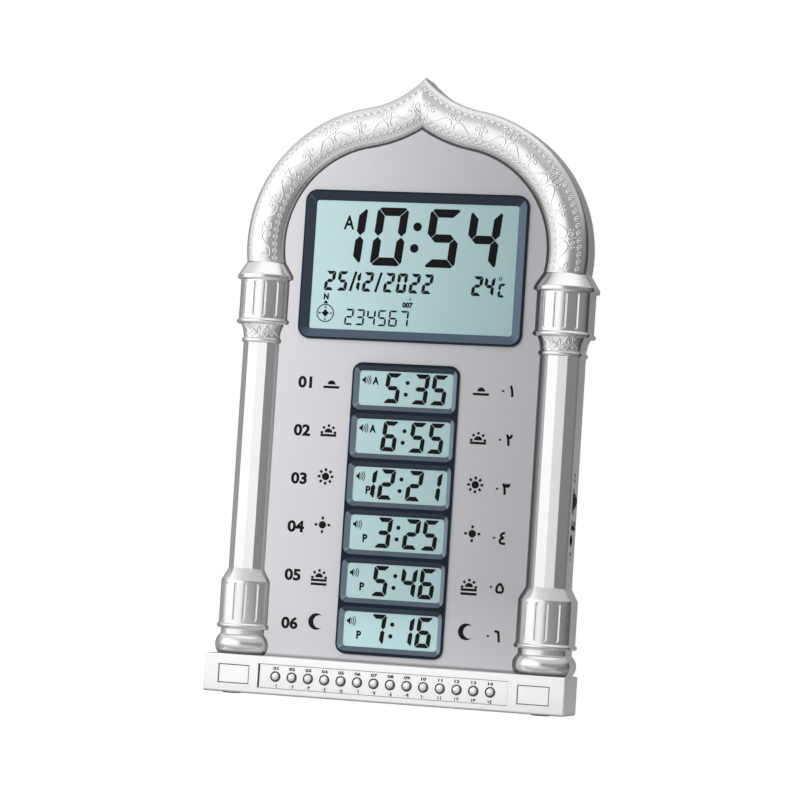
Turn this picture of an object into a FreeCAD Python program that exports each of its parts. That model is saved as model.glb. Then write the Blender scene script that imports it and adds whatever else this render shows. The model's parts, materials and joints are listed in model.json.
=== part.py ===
"""Arch-shaped table and wall clock with a main display, six small displays and fourteen buttons.

Frame: +Z up, the front faces -Y, +X is to the right seen from the front. The origin is at the
middle of the footprint, on the surface that the clock stands on. Depths in this file are
measured backwards from the plinth's front face.
"""
import FreeCAD, Part

import math
import os

import Sketcher
from FreeCAD import Rotation, Vector

DIMENSIONS = {
    # whole case
    "depth": 32.5, "seam": 14.0, "wall": 2.2, "fit": 0.25, "skin": 1.8,
    # plinth
    "plinth_width": 218.5, "plinth_height": 23.0, "plinth_face": 3.6, "plinth_radius": 2.0,
    "plinth_edge": 0.8, "duct_end": 21.25, "duct_front": 17.0,
    "strip_plate_gap": 5.4, "strip_margin": 4.3, "strip_recess": 1.6, "strip_thickness": 0.4,
    "plate_width": 19.2, "plate_margin": 5.8, "plate_recess": 0.9, "plate_thickness": 0.4,
    "plate_end": 8.85,
    "foot_radius": 5.5, "foot_thickness": 1.6, "foot_proud": 0.6, "foot_end": 15.25,
    "foot_inset": 8.5,
    # buttons and what they press
    "button_count": 14, "strip_end": 10.67, "button_radius": 2.4, "button_gap": 0.1,
    "well_radius": 3.2, "well_depth": 0.9, "button_front": 0.5, "dome_rise": 0.9,
    "flange_radius": 3.3, "flange_thickness": 1.0, "stem_radius": 1.6, "stem_length": 0.6,
    "button_travel": 0.6, "mat_thickness": 0.8, "mat_dome_radius": 3.0, "mat_dome_rise": 2.2,
    "mat_inset": 2.8, "mat_height": 12.0,
    "key_board_overhang": 7.2, "key_board_height": 15.0, "board_thickness": 1.6,
    "key_post_inset": 3.5, "post_radius": 2.2, "board_screw_radius": 0.9,
    "board_screw_head": 1.9, "board_screw_head_height": 1.2, "board_screw_length": 4.0,
    # columns
    "column_end": 17.55, "turning_setback": 7.0,
    "bulb_base": 14.2, "bulb_half": 16.4, "bulb_height": 11.7, "neck_half": 13.4,
    "neck_height": 3.4, "foot_ring_half": 16.15, "foot_ring_height": 2.9,
    "drum_half": 15.1, "foot_drum_height": 25.4, "foot_cone_height": 7.1,
    "shaft_half": 11.1, "shaft_edge": 5.8, "shaft_edge_rise": 5.9, "shaft_ridge_rise": 6.4,
    "shaft_length": 135.0, "shaft_seat": 4.6,
    "neck_ring_half": 12.25, "neck_ring_height": 3.0, "flare_waist": 11.75, "flare_half": 13.25,
    "flare_height": 8.3, "under_ring_half": 16.3, "under_ring_height": 2.9,
    "capital_drum_height": 24.0, "cornice_half": 17.2, "cornice_lip": 2.2, "cornice_drop": 0.6,
    "cone_top_half": 12.0, "capital_cone_height": 8.1,
    "flute_half": 1.0, "flute_sink": 0.25, "flute_margin": 2.0, "flute_inner": 3.9,
    "flute_outer": 10.7,
    # arch
    "arch_width": 23.5, "arch_rise": 7.0, "arch_radius": 72.4, "arch_stilt": 11.2,
    "arch_turn": 80.0, "keel_radius": 73.6,
    # face panel and bezels
    "panel_front": 12.0, "panel_gap": 0.9, "bezel_front": 10.1, "bezel_play": 0.15,
    "bezel_lip": 12.4, "glass_front": 12.7, "bezel_rim": 1.1, "glass_corner": 0.3,
    "main_side_gap": 7.4, "main_bezel_height": 88.8, "main_bezel_radius": 7.0,
    "main_frame_side": 6.3, "main_frame_top": 6.05, "main_window_radius": 1.5,
    "main_glass_lap": 3.0,
    "row_head_gap": 13.05, "row_foot_gap": 4.65, "row_bezel_width": 65.0,
    "row_bezel_radius": 6.0, "row_count": 6, "row_frame": 1.725, "row_bar": 2.25,
    "row_bevel": 2.8, "row_window_radius": 2.2, "row_cell_radius": 4.2, "row_glass_lap": 2.2,
    "glass_thickness": 2.6, "backlight_thickness": 3.2, "contact_strip_width": 3.0,
    "contact_strip_margin": 0.6,
    # chassis and main board
    "chassis_thickness": 2.0, "board_margin": 7.7, "board_inset": 1.3, "row_board_margin": 7.5,
    "row_board_rise": 3.1, "board_gap": 0.2, "post_edge": 1.0,
    "case_boss_radius": 3.6, "case_boss_depth": 20.0, "case_screw_radius": 1.5,
    "case_screw_head": 2.9, "case_screw_head_height": 2.0, "case_screw_length": 8.0,
    "case_screw_play": 0.25, "screw_ledge": 3.0, "boss_wall": 1.05,
    "column_screw_inset": 2.0, "foot_screw_level": 50.0, "capital_screw_level": 235.0,
    "arch_screw_inset": 10.0, "arch_screw_turn": 65.5, "plinth_screw_end": 12.25,
    "plinth_boss_depth": 24.0,
    # speaker
    "speaker_rise": 5.0, "speaker_radius": 20.0, "speaker_rim": 1.0, "speaker_depth": 8.6,
    "speaker_ring": 2.0, "basket_skin": 1.0,
    "magnet_radius": 9.0, "magnet_depth": 3.4, "cone_radius": 17.1, "cone_throat": 5.0,
    "cone_skin": 0.5, "grille_hole": 1.1, "grille_pitch": 5.2, "grille_rings": 3,
    # rear leg
    "leg_half": 16.0, "leg_thickness": 3.4, "leg_length": 143.0, "leg_foot_level": 7.0,
    "leg_gap": 0.5, "leg_rib_rise": 0.8, "leg_rib_end": 10.0, "leg_grip_depth": 0.8,
    "leg_grip_height": 4.0, "leg_barrel": 2.2, "pin_radius": 1.2, "pin_play": 0.05,
    "pin_engagement": 1.6,
    # battery compartment
    "cell_radius": 5.25, "cell_length": 43.3, "cell_nub_radius": 1.9, "cell_nub_length": 1.0,
    "cell_count": 3, "cell_pitch": 11.0, "cell_play": 0.35, "spring_space": 3.0,
    "contact_thickness": 0.4, "contact_inset": 1.0, "spring_wide": 3.85, "spring_tip": 2.25,
    "battery_gap": 0.55, "battery_level": 74.0,
    "door_lap": 2.0, "door_thickness": 1.1, "door_play": 0.2,
    "door_grip_width": 14.0, "door_grip_height": 3.0, "door_grip_depth": 0.6,
    "door_grip_drop": 2.0,
    # side controls
    "side_depth": 22.0, "side_gap": 0.3, "wheel_rise": 15.2, "wheel_radius": 8.0,
    "wheel_proud": 2.0, "wheel_thickness": 3.0, "wheel_notch": 0.45, "wheel_notch_count": 30,
    "spindle_radius": 1.5, "spindle_play": 0.05, "spindle_recess": 0.4, "slot_play": 0.4,
    "pot_radius": 3.4, "pot_thickness": 1.6,
    "switch_rise": 7.6, "switch_travel": 2.5, "knob_height": 2.6, "knob_thickness": 2.4,
    "knob_proud": 1.4, "track_depth": 1.6, "switch_height": 8.6, "switch_width": 4.4,
    "switch_body_depth": 4.6,
    "jack_level": 101.8, "jack_radius": 3.4, "jack_bore": 2.5, "jack_bore_length": 8.5,
    "jack_recess": 0.2, "jack_pin": 0.65, "jack_pin_recess": 1.5, "jack_height": 8.0,
    "jack_length": 10.5, "jack_body_depth": 7.0,
    "side_board_width": 17.0, "side_board_drop": 7.8, "side_board_height": 42.0,
    "side_pillar_inset": 4.0,
    # hanging keyholes and flat cable
    "keyhole_offset": 45.0, "keyhole_lift": 34.0, "keyhole_radius": 4.25,
    "keyhole_slot_radius": 2.1, "keyhole_rise": 8.0,
    "cable_width": 12.0, "cable_thickness": 0.4, "cable_lap": 9.0, "cable_gap": 0.1,
}

# How far a cutting tool runs past the face that it opens, how deep an added boss or rib is
# rooted in the wall that carries it, how thick a sliver is, and the overrun at the apex in degrees.
PAST = 1.0
ROOT = 0.5
SLIVER = 0.05
TOUCHING = 1e-6
APEX_OVERRUN = 1.0

doc = FreeCAD.newDocument("arch_clock")
sheet = doc.addObject("Spreadsheet::Sheet", "sizes")
for line, (word, number) in enumerate(DIMENSIONS.items(), start=1):
    sheet.set(f"A{line}", word)
    sheet.set(f"B{line}", str(number))
    sheet.setAlias(f"B{line}", word)
doc.recompute()


class Size:
    """A length known both as a number and as the sheet expression that gives it."""

    def __init__(self, value, text):
        self.value = float(value)
        self.text = text

    @staticmethod
    def of(thing):
        """Gives a bare number the same form as a sheet value."""
        return thing if isinstance(thing, Size) else Size(thing, repr(float(thing)))

    def __add__(self, other):
        other = Size.of(other)
        return Size(self.value + other.value, f"({self.text} + {other.text})")

    def __sub__(self, other):
        other = Size.of(other)
        return Size(self.value - other.value, f"({self.text} - {other.text})")

    def __mul__(self, other):
        other = Size.of(other)
        return Size(self.value * other.value, f"({self.text} * {other.text})")

    def __truediv__(self, other):
        other = Size.of(other)
        return Size(self.value / other.value, f"({self.text} / {other.text})")

    def __radd__(self, other):
        return Size.of(other) + self

    def __rsub__(self, other):
        return Size.of(other) - self

    def __rmul__(self, other):
        return Size.of(other) * self

    def __neg__(self):
        return Size(-self.value, f"(0 - {self.text})")

    def root(self):
        """The square root, for chords and radii."""
        return Size(math.sqrt(self.value), f"sqrt({self.text})")


class Sheet:
    """Reads the sheet's cells by alias."""

    def __getattr__(self, alias):
        return Size(getattr(sheet, alias), f"sizes.{alias}")


s = Sheet()
NODES = []


# ---------------------------------------------------------------- levels and shared places

plinth_half = s.plinth_width / 2
plinth_middle = s.plinth_height / 2
column_axis = plinth_half - s.column_end
foot_top = s.plinth_height + s.bulb_height + s.neck_height + s.foot_ring_height
foot_top = foot_top + s.foot_drum_height + s.foot_cone_height
capital_foot = foot_top + s.shaft_length
drum_foot = capital_foot + s.neck_ring_height + s.flare_height + s.under_ring_height
capital_top = drum_foot + s.capital_drum_height + s.cornice_lip + s.capital_cone_height
rear_face = s.depth - s.wall
chassis_back = s.seam + s.chassis_thickness
glass_back = s.glass_front + s.glass_thickness
board_front = glass_back + s.backlight_thickness + s.board_gap
board_back = board_front + s.board_thickness
inner_half = column_axis + s.shaft_half - s.wall
wall_face = column_axis + s.shaft_half

# label plates, overlay strip and buttons across the plinth
plate_offset = plinth_half - s.plate_end - s.plate_width / 2
strip_width = 2 * (plate_offset - s.plate_width / 2 - s.strip_plate_gap)
button_pitch = (strip_width - 2 * s.strip_end) / (s.button_count - 1)
stem_end = s.plinth_face + s.button_gap + s.flange_thickness + s.stem_length
key_board_front = stem_end + s.button_travel + s.button_gap + s.mat_dome_rise
key_board_back = key_board_front + s.board_thickness
key_board_width = strip_width + 2 * s.key_board_overhang

# main display, centred where the arch springs, between the two columns
main_level = capital_top
main_bezel_width = 2 * (column_axis - s.drum_half - s.panel_gap - s.main_side_gap)
main_glass_width = main_bezel_width - 2 * s.main_glass_lap
main_glass_height = s.main_bezel_height - 2 * s.main_glass_lap
main_board_width = main_glass_width - 2 * s.board_inset
main_board_height = main_glass_height + 2 * s.board_margin

# six small displays between the plinth and the main display
row_foot = s.plinth_height + s.row_foot_gap
row_bezel_height = main_level - s.main_bezel_height / 2 - s.row_head_gap - row_foot
row_level = row_foot + row_bezel_height / 2
row_cell_width = s.row_bezel_width - 2 * s.bezel_rim
row_cell_height = (row_bezel_height - 2 * s.row_frame - s.row_bar * (s.row_count - 1)) / s.row_count
row_pitch = row_cell_height + s.row_bar
row_glass_width = s.row_bezel_width - 2 * s.row_glass_lap
row_glass_height = row_bezel_height - 2 * s.row_glass_lap
row_board_width = row_glass_width + 2 * s.row_board_margin
row_board_foot = row_level - row_glass_height / 2 + s.row_board_rise

# behind the displays
speaker_level = main_level + s.speaker_rise
keyhole_level = speaker_level + s.keyhole_lift
battery_half = s.cell_pitch * s.cell_count / 2 + s.cell_play
battery_offset = -(row_board_width / 2 + s.battery_gap + s.skin + battery_half)
leg_pivot_level = s.leg_foot_level + s.leg_length
leg_recess = s.leg_gap + s.leg_thickness + s.leg_rib_rise + s.leg_gap
switch_level = s.jack_level + s.switch_rise
wheel_level = switch_level + s.wheel_rise
side_board_foot = s.jack_level - s.side_board_drop


# ---------------------------------------------------------------- small helpers

def bind(thing, path, size):
    """Ties one property to the sheet."""
    thing.setExpression(path, Size.of(size).text)


def place(thing, x, deep, z):
    """Puts an object at x, at a depth behind the front face and at height z."""
    bind(thing, "Placement.Base.x", x)
    bind(thing, "Placement.Base.y", Size.of(deep) - s.depth / 2)
    bind(thing, "Placement.Base.z", z)
    return thing


def box(name, x, deep, z):
    """A block between two values of each axis."""
    block = doc.addObject("Part::Box", name)
    for side, (low, high) in (("Length", x), ("Width", deep), ("Height", z)):
        bind(block, side, Size.of(high) - low)
    return place(block, x[0], deep[0], z[0])


def rod(name, radius, x, deep, z, axis="y"):
    """A cylinder along x, y or z; the entry of x, deep or z along its axis is a pair."""
    cylinder = doc.addObject("Part::Cylinder", name)
    turns = {"x": Rotation(Vector(0, 1, 0), 90), "y": Rotation(Vector(1, 0, 0), -90), "z": Rotation()}
    cylinder.Placement = FreeCAD.Placement(Vector(), turns[axis])
    low, high = {"x": x, "y": deep, "z": z}[axis]
    bind(cylinder, "Radius", radius)
    bind(cylinder, "Height", Size.of(high) - low)
    start = {"x": x, "y": deep, "z": z}
    start[axis] = low
    return place(cylinder, start["x"], start["y"], start["z"])


def cone(name, radius_front, radius_back, x, deep, z):
    """A cone along y between two depths."""
    thing = doc.addObject("Part::Cone", name)
    thing.Placement = FreeCAD.Placement(Vector(), Rotation(Vector(1, 0, 0), -90))
    bind(thing, "Radius1", radius_front)
    bind(thing, "Radius2", radius_back)
    bind(thing, "Height", Size.of(deep[1]) - deep[0])
    return place(thing, x, deep[0], z)


def fuse(name, *shapes):
    """Joins shapes that touch or overlap."""
    joined = doc.addObject("Part::MultiFuse", name)
    joined.Shapes = list(shapes)
    joined.Refine = True
    return joined


def group(name, shapes):
    """Keeps separate solids together in one object."""
    together = doc.addObject("Part::Compound", name)
    together.Links = list(shapes)
    return together


def cut(name, base, *tools):
    """Takes the tools away from the base."""
    result = doc.addObject("Part::Cut", name)
    result.Base = base
    result.Tool = tools[0] if len(tools) == 1 else fuse(f"{name}_tools", *tools)
    result.Refine = True
    return result


def node(thing, label):
    """Marks an object as one sub-part of the clock."""
    thing.Label = label
    NODES.append(thing)
    return thing


def body(name):
    """Starts a PartDesign body."""
    return doc.addObject("PartDesign::Body", name)


def sketch_on(host, name, role, offset=0.0):
    """A sketch on one of the body's own origin planes, moved along the plane's normal."""
    sketch = host.newObject("Sketcher::SketchObject", name)
    plane = [f for f in host.Origin.OriginFeatures if f.Role == role][0]
    sketch.AttachmentSupport = [(plane, "")]
    sketch.MapMode = "FlatFace"
    bind(sketch, "AttachmentOffset.Base.z", offset)
    return sketch


def front_sketch(host, name, deep):
    """A sketch in x and z at a depth behind the front face; its normal points forward."""
    return sketch_on(host, name, "XZ_Plane", s.depth / 2 - deep)


def draw(sketch, edges):
    """Adds lines and arcs, given as tuples of (x, z) points, to a sketch."""
    for points in edges:
        spots = [Vector(px, pz, 0) for px, pz in points]
        shape = Part.LineSegment(*spots) if len(spots) == 2 else Part.Arc(*spots)
        sketch.addGeometry(shape, False)


def rounded_rectangle(sketch, width, height, radius, level):
    """Draws a constrained rectangle with round corners, centred on x = 0 at a level."""
    half_w, half_h, r = width.value / 2, height.value / 2, radius.value
    mid = level.value
    corners = [(half_w - r, mid + half_h - r, 0), (r - half_w, mid + half_h - r, 90),
               (r - half_w, mid - half_h + r, 180), (half_w - r, mid - half_h + r, 270)]
    for cx, cz, start in corners:
        circle = Part.Circle(Vector(cx, cz, 0), Vector(0, 0, 1), r)
        sketch.addGeometry(Part.ArcOfCircle(circle, math.radians(start), math.radians(start + 90)), False)
    ends = [((half_w - r, mid + half_h), (r - half_w, mid + half_h)),
            ((-half_w, mid + half_h - r), (-half_w, mid - half_h + r)),
            ((r - half_w, mid - half_h), (half_w - r, mid - half_h)),
            ((half_w, mid - half_h + r), (half_w, mid + half_h - r))]
    draw(sketch, ends)
    rules = []
    for side in range(4):
        line = 4 + side
        rules.append(Sketcher.Constraint("Tangent", side, 2, line, 1))
        rules.append(Sketcher.Constraint("Tangent", line, 2, (side + 1) % 4, 1))
        rules.append(Sketcher.Constraint("Vertical" if side % 2 else "Horizontal", line))
    for side in range(1, 4):
        rules.append(Sketcher.Constraint("Equal", 0, side))
    sketch.addConstraint(rules)
    sizes = [("width", ("DistanceX", 4, 2, 4, 1), width - 2 * radius),
             ("height", ("DistanceY", 7, 1, 7, 2), height - 2 * radius),
             ("middle", ("DistanceX", -1, 1, 0, 3), width / 2 - radius),
             ("radius", ("Radius", 0), radius),
             ("level", ("DistanceY", -1, 1, 0, 3), level + height / 2 - radius)]
    for word, rule, size in sizes:
        index = sketch.addConstraint(Sketcher.Constraint(*rule, size.value))
        sketch.renameConstraint(index, word)
        bind(sketch, f"Constraints.{word}", size)


def pad(host, name, sketch, length):
    """Pads a sketch along its normal."""
    feature = host.newObject("PartDesign::Pad", name)
    feature.Profile = sketch
    bind(feature, "Length", length)
    return feature


def pocket(host, name, sketch, length):
    """Cuts a sketch into the body against the sketch's normal."""
    feature = host.newObject("PartDesign::Pocket", name)
    feature.Profile = sketch
    bind(feature, "Length", length)
    return feature


def revolve(host, name, edges):
    """Turns a closed profile of (radius, depth) edges about a line that runs front to back."""
    profile = sketch_on(host, f"{name}_profile", "XY_Plane")
    draw(profile, edges)
    turn = host.newObject("PartDesign::Revolution", f"{name}_turn")
    turn.Profile = profile
    turn.ReferenceAxis = (profile, ["V_Axis"])
    turn.Angle = 360.0


# ---------------------------------------------------------------- outlines

def column_steps():
    """Half-widths of a column against height, as a chain of points; a bead is an arc of three."""
    level = s.plinth_height.value
    chain = []

    def line(half, rise=0.0):
        nonlocal level
        level += rise
        chain.append(("line", (half, level)))

    def bead(half_mid, half_end, rise):
        nonlocal level
        chain.append(("arc", (half_mid, level + rise / 2), (half_end, level + rise)))
        level += rise

    line(s.bulb_base.value)
    bead(s.bulb_half.value, s.neck_half.value, s.bulb_height.value)
    line(s.neck_half.value, s.neck_height.value)
    line(s.drum_half.value)
    bead(s.foot_ring_half.value, s.drum_half.value, s.foot_ring_height.value)
    line(s.drum_half.value, s.foot_drum_height.value)
    line(s.shaft_half.value, s.foot_cone_height.value)
    line(s.shaft_half.value, s.shaft_length.value)
    bead(s.neck_ring_half.value, s.shaft_half.value, s.neck_ring_height.value)
    bead(s.flare_waist.value, s.flare_half.value, s.flare_height.value)
    line(s.drum_half.value)
    bead(s.under_ring_half.value, s.drum_half.value, s.under_ring_height.value)
    line(s.drum_half.value, s.capital_drum_height.value - s.cornice_drop.value)
    line(s.cornice_half.value, s.cornice_drop.value)
    line(s.cornice_half.value, s.cornice_lip.value)
    line(s.cone_top_half.value, s.capital_cone_height.value)
    return chain


def column_edges(low, high, shape):
    """The column's profile between two heights, with each (half, z) point passed to shape."""
    edges = []
    last = None
    for kind, *points in column_steps():
        end = points[-1]
        inside = last is not None and last[1] >= low - TOUCHING and end[1] <= high + TOUCHING
        if inside and math.dist(last, end) > TOUCHING:
            edges.append(tuple(shape(*spot) for spot in (last, *points)))
        last = end
    return edges


class Arch:
    """Two tangent arcs a side: a wide haunch about one centre, then a keel curve to the apex."""

    def __init__(self):
        self.radius = s.arch_radius.value
        self.keel = s.keel_radius.value
        self.turn = math.radians(s.arch_turn.value)
        self.x = column_axis.value - math.sqrt(self.radius ** 2 - s.arch_stilt.value ** 2)
        self.z = capital_top.value + s.arch_stilt.value
        self.keel_x = self.x + (self.radius + self.keel) * math.cos(self.turn)
        self.keel_z = self.z + (self.radius + self.keel) * math.sin(self.turn)

    def haunch(self, offset, angle):
        """A point of the haunch, offset outwards from the centre line."""
        reach = self.radius + offset
        return (self.x + reach * math.cos(angle), self.z + reach * math.sin(angle))

    def keel_point(self, offset, angle):
        """A point of the keel curve, offset outwards from the centre line."""
        reach = self.keel - offset
        return (self.keel_x - reach * math.cos(angle), self.keel_z - reach * math.sin(angle))

    def apex_angle(self, offset):
        """Where the keel curve meets the middle of the clock."""
        return math.acos(self.keel_x / (self.keel - offset))

    def edges(self, offset, base):
        """The right half of the arch from a height to the apex, as two arcs."""
        start = math.asin((base - self.z) / (self.radius + offset))
        middle = (start + self.turn) / 2
        apex = self.apex_angle(offset)
        between = (apex + self.turn) / 2
        lower = tuple(self.haunch(offset, angle) for angle in (start, middle, self.turn))
        upper = tuple(self.keel_point(offset, angle) for angle in (self.turn, between, apex))
        return [lower, (*upper[:2], (0.0, upper[2][1]))]


arch = Arch()


def mirrored(edges):
    """The same edges on the other side of x = 0, in the order that closes a loop."""
    return [tuple((-px, pz) for px, pz in reversed(edge)) for edge in reversed(edges)]


def linked(edges):
    """Adds the straight edges that join each edge to the next and closes the loop."""
    loop = []
    for edge, following in zip(edges, edges[1:] + edges[:1]):
        loop.append(edge)
        if math.dist(edge[-1], following[0]) > TOUCHING:
            loop.append((edge[-1], following[0]))
    return loop


def case_outline():
    """The silhouette of columns and arch above the plinth."""
    top = capital_top.value
    right = column_edges(s.plinth_height.value, top, lambda half, z: (column_axis.value + half, z))
    right += arch.edges(s.arch_width.value / 2, top)
    return linked(right + mirrored(right))


def cavity_outline(clearance):
    """The inside of the case, straight beside the columns and arched above."""
    half = inner_half.value - clearance
    foot, top = s.plinth_height.value, capital_top.value
    right = [((half, foot), (half, top))]
    right += arch.edges(s.arch_width.value / 2 - s.wall.value - clearance, top)
    return linked(right + mirrored(right))


def panel_outline():
    """The face between the columns and under the arch, a gap away from both."""
    gap = s.panel_gap.value
    top = capital_top.value
    axis = column_axis.value - gap
    right = column_edges(s.plinth_height.value, top, lambda half, z: (axis - half, z))
    right += arch.edges(-s.arch_width.value / 2 - gap, top)
    return linked(right + mirrored(right))


# ---------------------------------------------------------------- columns and arch

def turned(name, low, high, hollow, seat=None):
    """A turned moulding cut off at the seam plane; hollow is its (half-width, low, high) inside."""
    host = body(f"{name}_body")
    setback = s.turning_setback.value

    def radius(half, z):
        return (math.hypot(half, setback), z)

    profile = sketch_on(host, f"{name}_profile", "XZ_Plane")
    edges = column_edges(low.value, high.value, radius)
    draw(profile, linked(edges + [((0.0, high.value), (0.0, low.value))]))
    turn = host.newObject("PartDesign::Revolution", f"{name}_turn")
    turn.Profile = profile
    turn.ReferenceAxis = (profile, ["V_Axis"])
    turn.Angle = 360.0
    half, start, stop = (size.value for size in hollow)
    inner = math.hypot(half, setback) - s.skin.value
    core = sketch_on(host, f"{name}_core", "XZ_Plane")
    corners = [(0.0, start), (inner, start), (inner, stop), (0.0, stop)]
    draw(core, list(zip(corners, corners[1:] + corners[:1])))
    hollowing = host.newObject("PartDesign::Groove", f"{name}_hollow")
    hollowing.Profile = core
    hollowing.ReferenceAxis = (core, ["V_Axis"])
    hollowing.Angle = 360.0
    reach = 2 * s.cornice_half.value
    behind = sketch_on(host, f"{name}_behind", "XZ_Plane", s.turning_setback)
    foot, head = low.value - PAST, high.value + PAST
    draw(behind, linked([((-reach, foot), (reach, foot)), ((reach, head), (-reach, head))]))
    pocket(host, f"{name}_flat", behind, 2 * s.cornice_half)
    if seat is not None:
        socket = sketch_on(host, f"{name}_socket", "XY_Plane", seat)
        draw(socket, shaft_section(s.bezel_play.value, PAST))
        pocket(host, f"{name}_seat", socket, s.shaft_seat).Reversed = False
    return host


def shaft_section(grow, behind):
    """The faceted section of a shaft in the turning's own frame; behind goes past the seam."""
    seam = -s.turning_setback.value
    half, edge = s.shaft_half.value + grow, s.shaft_edge.value + grow
    points = [(half, seam + behind), (half, seam), (edge, seam - s.shaft_edge_rise.value - grow),
              (0.0, seam - s.shaft_ridge_rise.value - grow), (-edge, seam - s.shaft_edge_rise.value - grow),
              (-half, seam), (-half, seam + behind)]
    if behind == 0.0:
        points = points[1:-1]
    return list(zip(points, points[1:] + points[:1]))


def column(side, sign):
    """Foot, shaft and capital of one column."""
    axis = sign * column_axis
    behind = s.seam + s.turning_setback
    foot = turned(f"{side}_foot", s.plinth_height, foot_top,
                  (s.neck_half, s.plinth_height + s.skin, foot_top - s.foot_cone_height), foot_top)
    capital = turned(f"{side}_capital", capital_foot, capital_top,
                     (s.shaft_half, capital_foot + s.skin, capital_top - s.skin))
    shaft = body(f"{side}_shaft")
    section = sketch_on(shaft, f"{side}_shaft_section", "XY_Plane", foot_top - s.shaft_seat)
    draw(section, shaft_section(0.0, 0.0))
    pad(shaft, f"{side}_shaft_pad", section, s.shaft_length + s.shaft_seat)
    core = sketch_on(shaft, f"{side}_shaft_core", "XY_Plane", capital_foot + PAST)
    draw(core, shaft_section(-s.skin.value, s.skin.value + PAST))
    pocket(shaft, f"{side}_shaft_hollow", core, s.shaft_length + s.shaft_seat + 2 * PAST)
    for part in (foot, shaft, capital):
        place(part, axis, behind, 0)
    foot_drum = foot_top - s.foot_cone_height - s.foot_drum_height
    drums = ((foot, "foot", foot_drum, s.foot_drum_height),
             (capital, "capital", drum_foot, s.capital_drum_height))
    for part, label, low, height in drums:
        grooves = flutes(f"{side}_{label}", axis, low, height)
        node(cut(f"{side}_{label}_fluted", part, *grooves), f"{side}_{label}")
    node(shaft, f"{side}_shaft")


def flutes(name, axis, low, height):
    """Four round-ended grooves standing on a drum's surface."""
    radius_squared = s.drum_half * s.drum_half + s.turning_setback * s.turning_setback
    ends = (low + s.flute_margin + s.flute_half, low + height - s.flute_margin - s.flute_half)
    grooves = []
    for i, offset in enumerate((-s.flute_outer, -s.flute_inner, s.flute_inner, s.flute_outer)):
        deep = s.seam + s.turning_setback - (radius_squared - offset * offset).root() - s.flute_sink
        x = axis + offset
        grooves.append(rod(f"{name}_flute_{i}", s.flute_half, x, deep, ends, "z"))
        for j, z in enumerate(ends):
            ball = doc.addObject("Part::Sphere", f"{name}_flute_end_{i}_{j}")
            bind(ball, "Radius", s.flute_half)
            grooves.append(place(ball, x, deep, z))
    return grooves


def arch_section(name, centre, angle):
    """Half an ellipse with a skin, across the arch at an angle of its centre line."""
    sketch = doc.addObject("Sketcher::SketchObject", name)
    half, rise = s.arch_width.value / 2, s.arch_rise.value
    skin = s.skin.value
    for a, b in ((half, rise), (half - skin, rise - skin)):
        ellipse = Part.Ellipse(Vector(a, 0, 0), Vector(0, b, 0), Vector(0, 0, 0))
        sketch.addGeometry(Part.ArcOfEllipse(ellipse, 0.0, math.pi), False)
    draw(sketch, [((half, 0), (half - skin, 0)), ((-half, 0), (skin - half, 0))])
    along = Vector(math.cos(angle), 0, math.sin(angle))
    forward = Vector(0, -1, 0)
    seam = s.seam.value - s.depth.value / 2
    sketch.Placement = FreeCAD.Placement(Vector(centre[0], seam, centre[1]),
                                         Rotation(along, forward, along.cross(forward), "XYZ"))
    return sketch


def arch_moulding():
    """Both halves of the arch, mitred at the apex."""
    start = -math.asin(s.arch_stilt.value / (arch.radius - s.arch_width.value))
    spring = arch_section("arch_spring", arch.haunch(0, start), start)
    joint = arch_section("arch_joint", arch.haunch(0, arch.turn), arch.turn)
    haunch = doc.addObject("Part::Revolution", "arch_haunch")
    haunch.Source = spring
    haunch.Axis = Vector(0, -1, 0)
    haunch.Base = Vector(arch.x, 0, arch.z)
    haunch.Angle = math.degrees(arch.turn - start)
    keel = doc.addObject("Part::Revolution", "arch_keel")
    keel.Source = joint
    keel.Axis = Vector(0, 1, 0)
    keel.Base = Vector(arch.keel_x, 0, arch.keel_z)
    half = s.arch_width.value / 2
    past_apex = min(arch.apex_angle(-half), arch.apex_angle(half))
    keel.Angle = math.degrees(arch.turn - past_apex) + APEX_OVERRUN
    haunch.Solid = keel.Solid = True
    run = fuse("arch_run", haunch, keel)
    half_space = box("arch_side", (0, s.plinth_width), (0, s.depth), (capital_top, 3 * capital_top))
    right = doc.addObject("Part::Common", "arch_right")
    right.Base = run
    right.Tool = half_space
    left = doc.addObject("Part::Mirroring", "arch_left")
    left.Source = right
    left.Normal = Vector(1, 0, 0)
    node(fuse("arch_moulding", right, left), "arch_moulding")


# ---------------------------------------------------------------- plinth and its trim

def button_places():
    """The x of each button, from left to right."""
    first = -button_pitch * (s.button_count - 1) / 2
    return [first + button_pitch * i for i in range(int(s.button_count.value))]


def case_screw_places():
    """The x, z and boss depth of each case screw: two a column, two on the arch, two below."""
    beside = column_axis - s.column_screw_inset
    on_arch = arch.haunch(-s.arch_screw_inset.value, math.radians(s.arch_screw_turn.value))
    places = [(beside, s.foot_screw_level, s.case_boss_depth),
              (beside, s.capital_screw_level, s.case_boss_depth),
              (*on_arch, s.case_boss_depth),
              (plinth_half - s.plinth_screw_end, plinth_middle, s.plinth_boss_depth)]
    return [(sign * x, z, depth) for x, z, depth in places for sign in (-1, 1)]


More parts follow.
